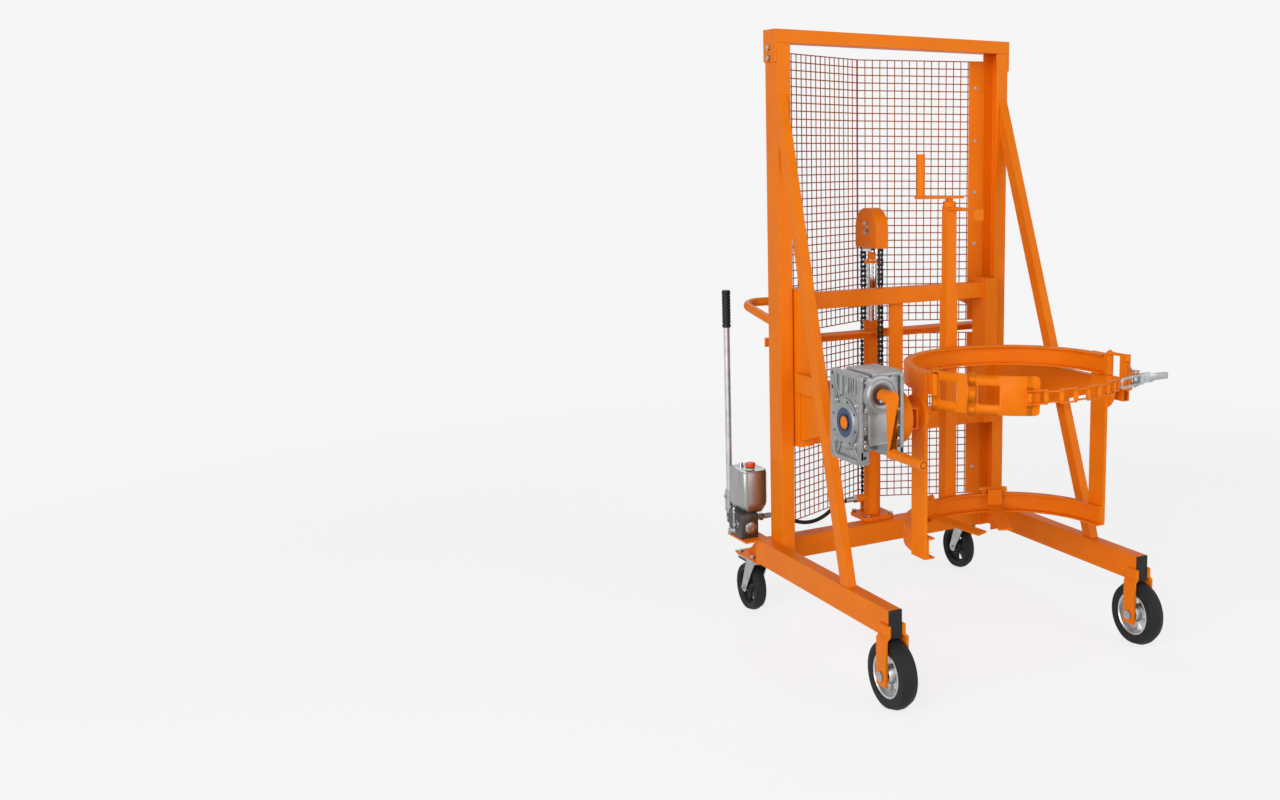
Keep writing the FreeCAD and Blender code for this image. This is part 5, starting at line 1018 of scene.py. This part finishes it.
def gearbox():
    """Two side flanges, the body between them, and what is bolted on."""
    low, high = span("gearbox_housing")
    axis, worm = middle_of("worm_wheel"), middle_of("worm_shaft")
    front, outer = low.y + INPUT_BOSS, low.x + COVER_STAND
    corner = Vector((low.x, front, low.z))
    mesh = bmesh.new()
    join(mesh, recessed(side_plate(outer, outer + FLANGE, corner, high), outer, corner, high))
    side_relief(mesh, outer, corner, high, axis)
    join(mesh, side_plate(high.x - FLANGE, high.x, corner, high))
    core_low, core_high = outer + FLANGE - 1, high.x - FLANGE + 1
    block(mesh, (core_low, front + 8, axis.z - 28), (core_high, high.y - 8, high.z - 10), edge=5)
    rod(mesh, (core_low, axis.y, axis.z), (core_high, axis.y, axis.z), DRUM_RADIUS, 2, sides=64)
    block(mesh, (core_low + 18, front + 3, axis.z - 54), (core_high - 12, front + 30, axis.z + 44), edge=4)
    block(mesh, (core_low + 20, front + 1, axis.z - 56), (core_high - 14, front + 8, axis.z - 49), edge=1.5)
    block(mesh, (worm.x - 22, front + 2, high.z - 14), (high.x - 8, high.y - 16, high.z), edge=4)
    block(mesh, (outer + 6, front + 10, high.z - 12), (worm.x - 26, high.y - 30, high.z - 5), edge=3)
    rod(mesh, (worm.x - 4, front + 6, worm.z), (worm.x - 4, high.y - 6, worm.z), WORM_RADIUS, 3, sides=48)
    for fin in range(WORM_FINS):
        start = Vector((worm.x - 5, front + WORM_FIN_FIRST + fin * WORM_FIN_GAP, worm.z - 2))
        rod(mesh, start, start + Y * FIN_THICK, WORM_FIN_RADIUS, 1.5, sides=48)
    for y in (front + 20, high.y - 24):
        block(mesh, (outer + 1, y - 7, axis.z + 60), (outer + FLANGE, y + 7, high.z - 6), edge=3)
    join(mesh, gearbox_feet(low, high, front, outer))
    round_cover(mesh, Vector((outer + COVER_SUNK, axis.y, axis.z)), COVER_STAND + COVER_SUNK)
    input_flange(mesh, Vector((worm.x, front, worm.z)))
    for z in (axis.z + 36, axis.z - 8, axis.z - 44):
        for x in (core_low + 9, core_high - 6):
            rod(mesh, (x, front + 8, z), (x, front + 2, z), 4.6, 1, BRIGHT, sides=16)
    drain = Vector((core_low + 8, front + 4, low.z + 52))
    rod(mesh, drain, drain - Y * 8, 7, 1.5, BRIGHT, sides=20)
    paints = ["grey_casting", "blue_seal", "chain_steel", "brown_seal", "zinc"]
    piece("gearbox_casting", mesh, paints, "carriage", ["gearbox_housing"])


# Pump

# The tank's sections: height from its bottom or top, inset from its sides, and corner radius
TANK_FOOT = [(0, 14, 10), (4, 12, 12), (20, 3, 16), (28, 0.6, 18), (36, 0, 18)]
TANK_HEAD = [(-10, 0, 18), (-7, 1.2, 17), (-6, 1.2, 17), (-4, 0.4, 18), (-2, 1, 17), (-0.6, 4, 15),
             (0, 10, 12)]
BREATHER = [(0, 0), (9, 0), (9, 4), (7, 5), (7.5, 8), (6.5, 11), (4, 13), (0, 13.8)]
CAP_SEAL = [(0, 0), (13, 0), (13.4, 1), (13.4, 5), (0, 5)]
CAP_COLLAR = [(0, 5), (14.5, 5), (14.8, 6), (14.8, 9), (0, 9)]
CAP_TOP = [(0, 9), (15.4, 9), (15.8, 10.5), (15.8, 19), (14.6, 21.6), (11, 22.8), (0, 23)]
CAP_RIBS, CAP_RIB_RING, CAP_RIB_RADIUS = 24, 15.4, 0.9
PUMP_BACK, PUMP_INNER = 213.0, -455.0
PUMP_PLUG = [(0, -1), (20, -1), (20, 1.5), (18, 3), (14, 3.4), (11, 4), (8, 4), (8, 1.5), (0, 1.5)]
PUMP_BLIND = [(0, -1), (13, -1), (13, 1), (11.5, 2), (0, 2)]
# Bosses on the pump's outer face: y, z, radius and depth
PUMP_BOSSES = ((198, 299, 11, 9), (174, 304, 9, 6), (150, 330, 11, 5))
PUMP_PIVOT = Vector((-494, 236, 330))
PIVOT_PIN, PLUNGER_RADIUS, PLUNGER_HEIGHT = 6, 11, 318
CHEEK_INSET, CHEEK_THICK = 2, 5
RELEASE_BOSS, RELEASE_ROD = 8, 3.2
RELEASE_KNOB = [(0, 0), (3.4, 0), (4.8, 3), (4.8, 9), (3, 12), (0, 12)]
STICK_OFFSET, STICK_RADIUS = 14, 10
SOCKET_TOP, SOCKET_RADIUS, SOCKET_BORE = 420.0, 14.8, 10.2
GRIP_BOTTOM = 955.0
GRIP_START = [(0, 0), (11.5, 0), (13.4, 1.5), (13.9, 4), (13.9, 8), (12.2, 11)]
GRIP_RING = [(12.4, 0), (13.6, 2.5), (13.6, 6.5), (12.4, 9)]
GRIP_END = [(13.0, -14), (13.9, -10), (13.6, -4), (11, -0.8), (0, 0)]
GRIP_RINGS, GRIP_RING_FIRST, GRIP_RING_PITCH = 9, 14, 10


def oil_tank():
    """The drawn tank with its rolled rim, and the breather on top."""
    low, high = span("oil_tank")
    top = span("filler_cap")[0].z
    sections = [(low.z + height, *rest) for height, *rest in TANK_FOOT]
    sections += [(top + height, *rest) for height, *rest in TANK_HEAD]
    mesh = bmesh.new()
    loops = []
    for z, inset, corner in sections:
        outline = rounded((low.x + inset, low.y + inset), (high.x - inset, high.y - inset), corner)
        loops.append([mesh.verts.new((x, y, z)) for x, y in outline])
    skin(mesh, loops)
    lathe(mesh, (low.x + 32, high.y - 35, top), Z, BREATHER, 1, 28)
    piece("oil_tank_shell", mesh, ["tank_steel", "chrome"], "frame", ["oil_tank"])


def filler_cap():
    """A ribbed cap with its collar and seal."""
    low, high = span("filler_cap")
    middle = (low + high) / 2
    start = Vector((middle.x, middle.y, low.z))
    mesh = bmesh.new()
    lathe(mesh, start, Z, CAP_SEAL, 2)
    lathe(mesh, start, Z, CAP_COLLAR, 1)
    lathe(mesh, start, Z, CAP_TOP, 0, 48)
    for rib in range(CAP_RIBS):
        angle = math.tau * rib / CAP_RIBS
        foot = start + X * CAP_RIB_RING * math.cos(angle) + Y * CAP_RIB_RING * math.sin(angle)
        rod(mesh, foot + Z * 10, foot + Z * 20, CAP_RIB_RADIUS, 0.3, 0, sides=8)
    paints = ["red_plastic", "black_plastic", "white_nylon"]
    piece("filler_cap_dressed", mesh, paints, "filler_cap", ["filler_cap"])


def pump_block():
    """The cast block with its plugs, the hose's outlet, and the lever's cheeks, pin and plunger."""
    low, high = span("pump_block")
    lever_low, lever_high = span("pump_lever")
    front = low.y + 4
    mesh = bmesh.new()
    block(mesh, (low.x, front, low.z), (PUMP_INNER, PUMP_BACK, high.z), edge=2.5)
    plug = Vector(((low.x + PUMP_INNER) / 2 + 4, front, low.z + 34))
    lathe(mesh, plug, -Y, PUMP_PLUG, 1)
    lathe(mesh, plug + Z * 30 - X * 6, -Y, PUMP_BLIND, 0)
    outlet = HOSE_POINTS[0][1:]
    hexagon(mesh, (PUMP_INNER - 2, *outlet), X, UNION_RADIUS, UNION_LENGTH, 1)
    rod(mesh, (PUMP_INNER, *outlet), (high.x, *outlet), 9, 0.6, 1)
    cheek = [(PUMP_BACK - 4, 24), (high.y - 6, 30), (high.y, 44), (high.y - 6, 58), (PUMP_BACK - 4, 66)]
    for x, inward in ((lever_low.x + CHEEK_INSET, X), (lever_high.x - CHEEK_INSET, -X)):
        prism(mesh, [(x, y, low.z + z) for y, z in cheek], inward * CHEEK_THICK, edge=1)
    rod(mesh, (lever_low.x - 1, *PUMP_PIVOT.yz), (lever_high.x + 1, *PUMP_PIVOT.yz), PIVOT_PIN, 1, 1)
    plunger = Vector(((lever_low.x + lever_high.x) / 2, PUMP_BACK, PLUNGER_HEIGHT))
    rod(mesh, plunger - Y * 2, plunger + Y * 8, PLUNGER_RADIUS, 1, 2)
    for y, z, radius, depth in PUMP_BOSSES:
        seat = (low.x - depth * 0.4, y, z)
        rod(mesh, (low.x + 1, y, z), seat, radius, 1.2, 1, sides=28)
        hexagon(mesh, seat, -X, radius * 0.62, depth * 0.6, 1)
    piece("pump_body", mesh, ["pump_casting", "zinc", "chrome"], "frame", ["pump_block"], slot="zinc")


def release_lever():
    """A small handle with a knob and a cross pin on the pump's release screw."""
    low, high = span("release_lever")
    x, y = low.x + 5, (low.y + high.y) / 2
    pivot, pin = low.z + RELEASE_BOSS, high.z - 16
    mesh = bmesh.new()
    rod(mesh, (high.x, y, pivot), (low.x + 3, y, pivot), RELEASE_BOSS, 1.2)
    pipe(mesh, [(x, y, pivot), (x, y, pivot + 14), (x, y, high.z - 8)], RELEASE_ROD, sides=14)
    lathe(mesh, (x, y, high.z - 12), Z, RELEASE_KNOB, 0, 20)
    rod(mesh, (x, y - 7, pin), (x, y + 7, pin), 2.4, 0.8, sides=16)
    piece("release_handle", mesh, ["zinc"], "release_lever", ["release_lever"])


def pump_lever():
    """The socket on its pivot, and the bright tube with a ringed grip."""
    top = span("pump_lever")[1].z
    pivot = PUMP_PIVOT
    stick = Vector((pivot.x, pivot.y + STICK_OFFSET, 0))
    mesh = bmesh.new()
    tube(mesh, pivot - X * 9, pivot + X * 9, 13.5, 6.2, 1)
    block(mesh, (pivot.x - 8, pivot.y - 4, pivot.z + 4), (pivot.x + 8, stick.y + 12, pivot.z + 40), edge=3)
    tube(mesh, stick + Z * (pivot.z + 20), stick + Z * SOCKET_TOP, SOCKET_RADIUS, SOCKET_BORE, 1.2)
    bolt(mesh, stick - X * 13 + Z * (SOCKET_TOP - 20), -X, 6)
    rod(mesh, stick + Z * (pivot.z + 24), stick + Z * (GRIP_BOTTOM + 20), STICK_RADIUS, 0.8, 1)
    grip = list(GRIP_START)
    for ring in range(GRIP_RINGS):
        first = GRIP_RING_FIRST + ring * GRIP_RING_PITCH
        grip += [(radius, first + along) for radius, along in GRIP_RING]
    grip += [(radius, top - GRIP_BOTTOM + along) for radius, along in GRIP_END]
    lathe(mesh, stick + Z * GRIP_BOTTOM, Z, grip, 2, 32)
    paints = ["zinc", "wheel_rim", "black_plastic"]
    piece("pump_lever_dressed", mesh, paints, "pump_lever", ["pump_lever"])


# Build everything

dress_nodes()
for edge_width, names in SOFT_EDGES.items():
    for node_name in names:
        soften(node_name, edge_width)
hose()
hose_ends()
guard()
chain_strand("front_chain")
chain_strand("rear_chain")
belt_chain()
latch_plate()
latch_lever()
foot_pins()
crank_details()
sheave_bolts()
ram_head()
strip_bolts()
for side_name in SIDES:
    wheel(f"front_wheel_{side_name}", rim=66, hub=24, bore=9, web=12, disc="wheel_rim")
    wheel(f"castor_wheel_{side_name}", rim=62, hub=20, bore=7, web=10, disc="black_plastic")
gearbox()
oil_tank()
filler_cap()
pump_block()
release_lever()
pump_lever()
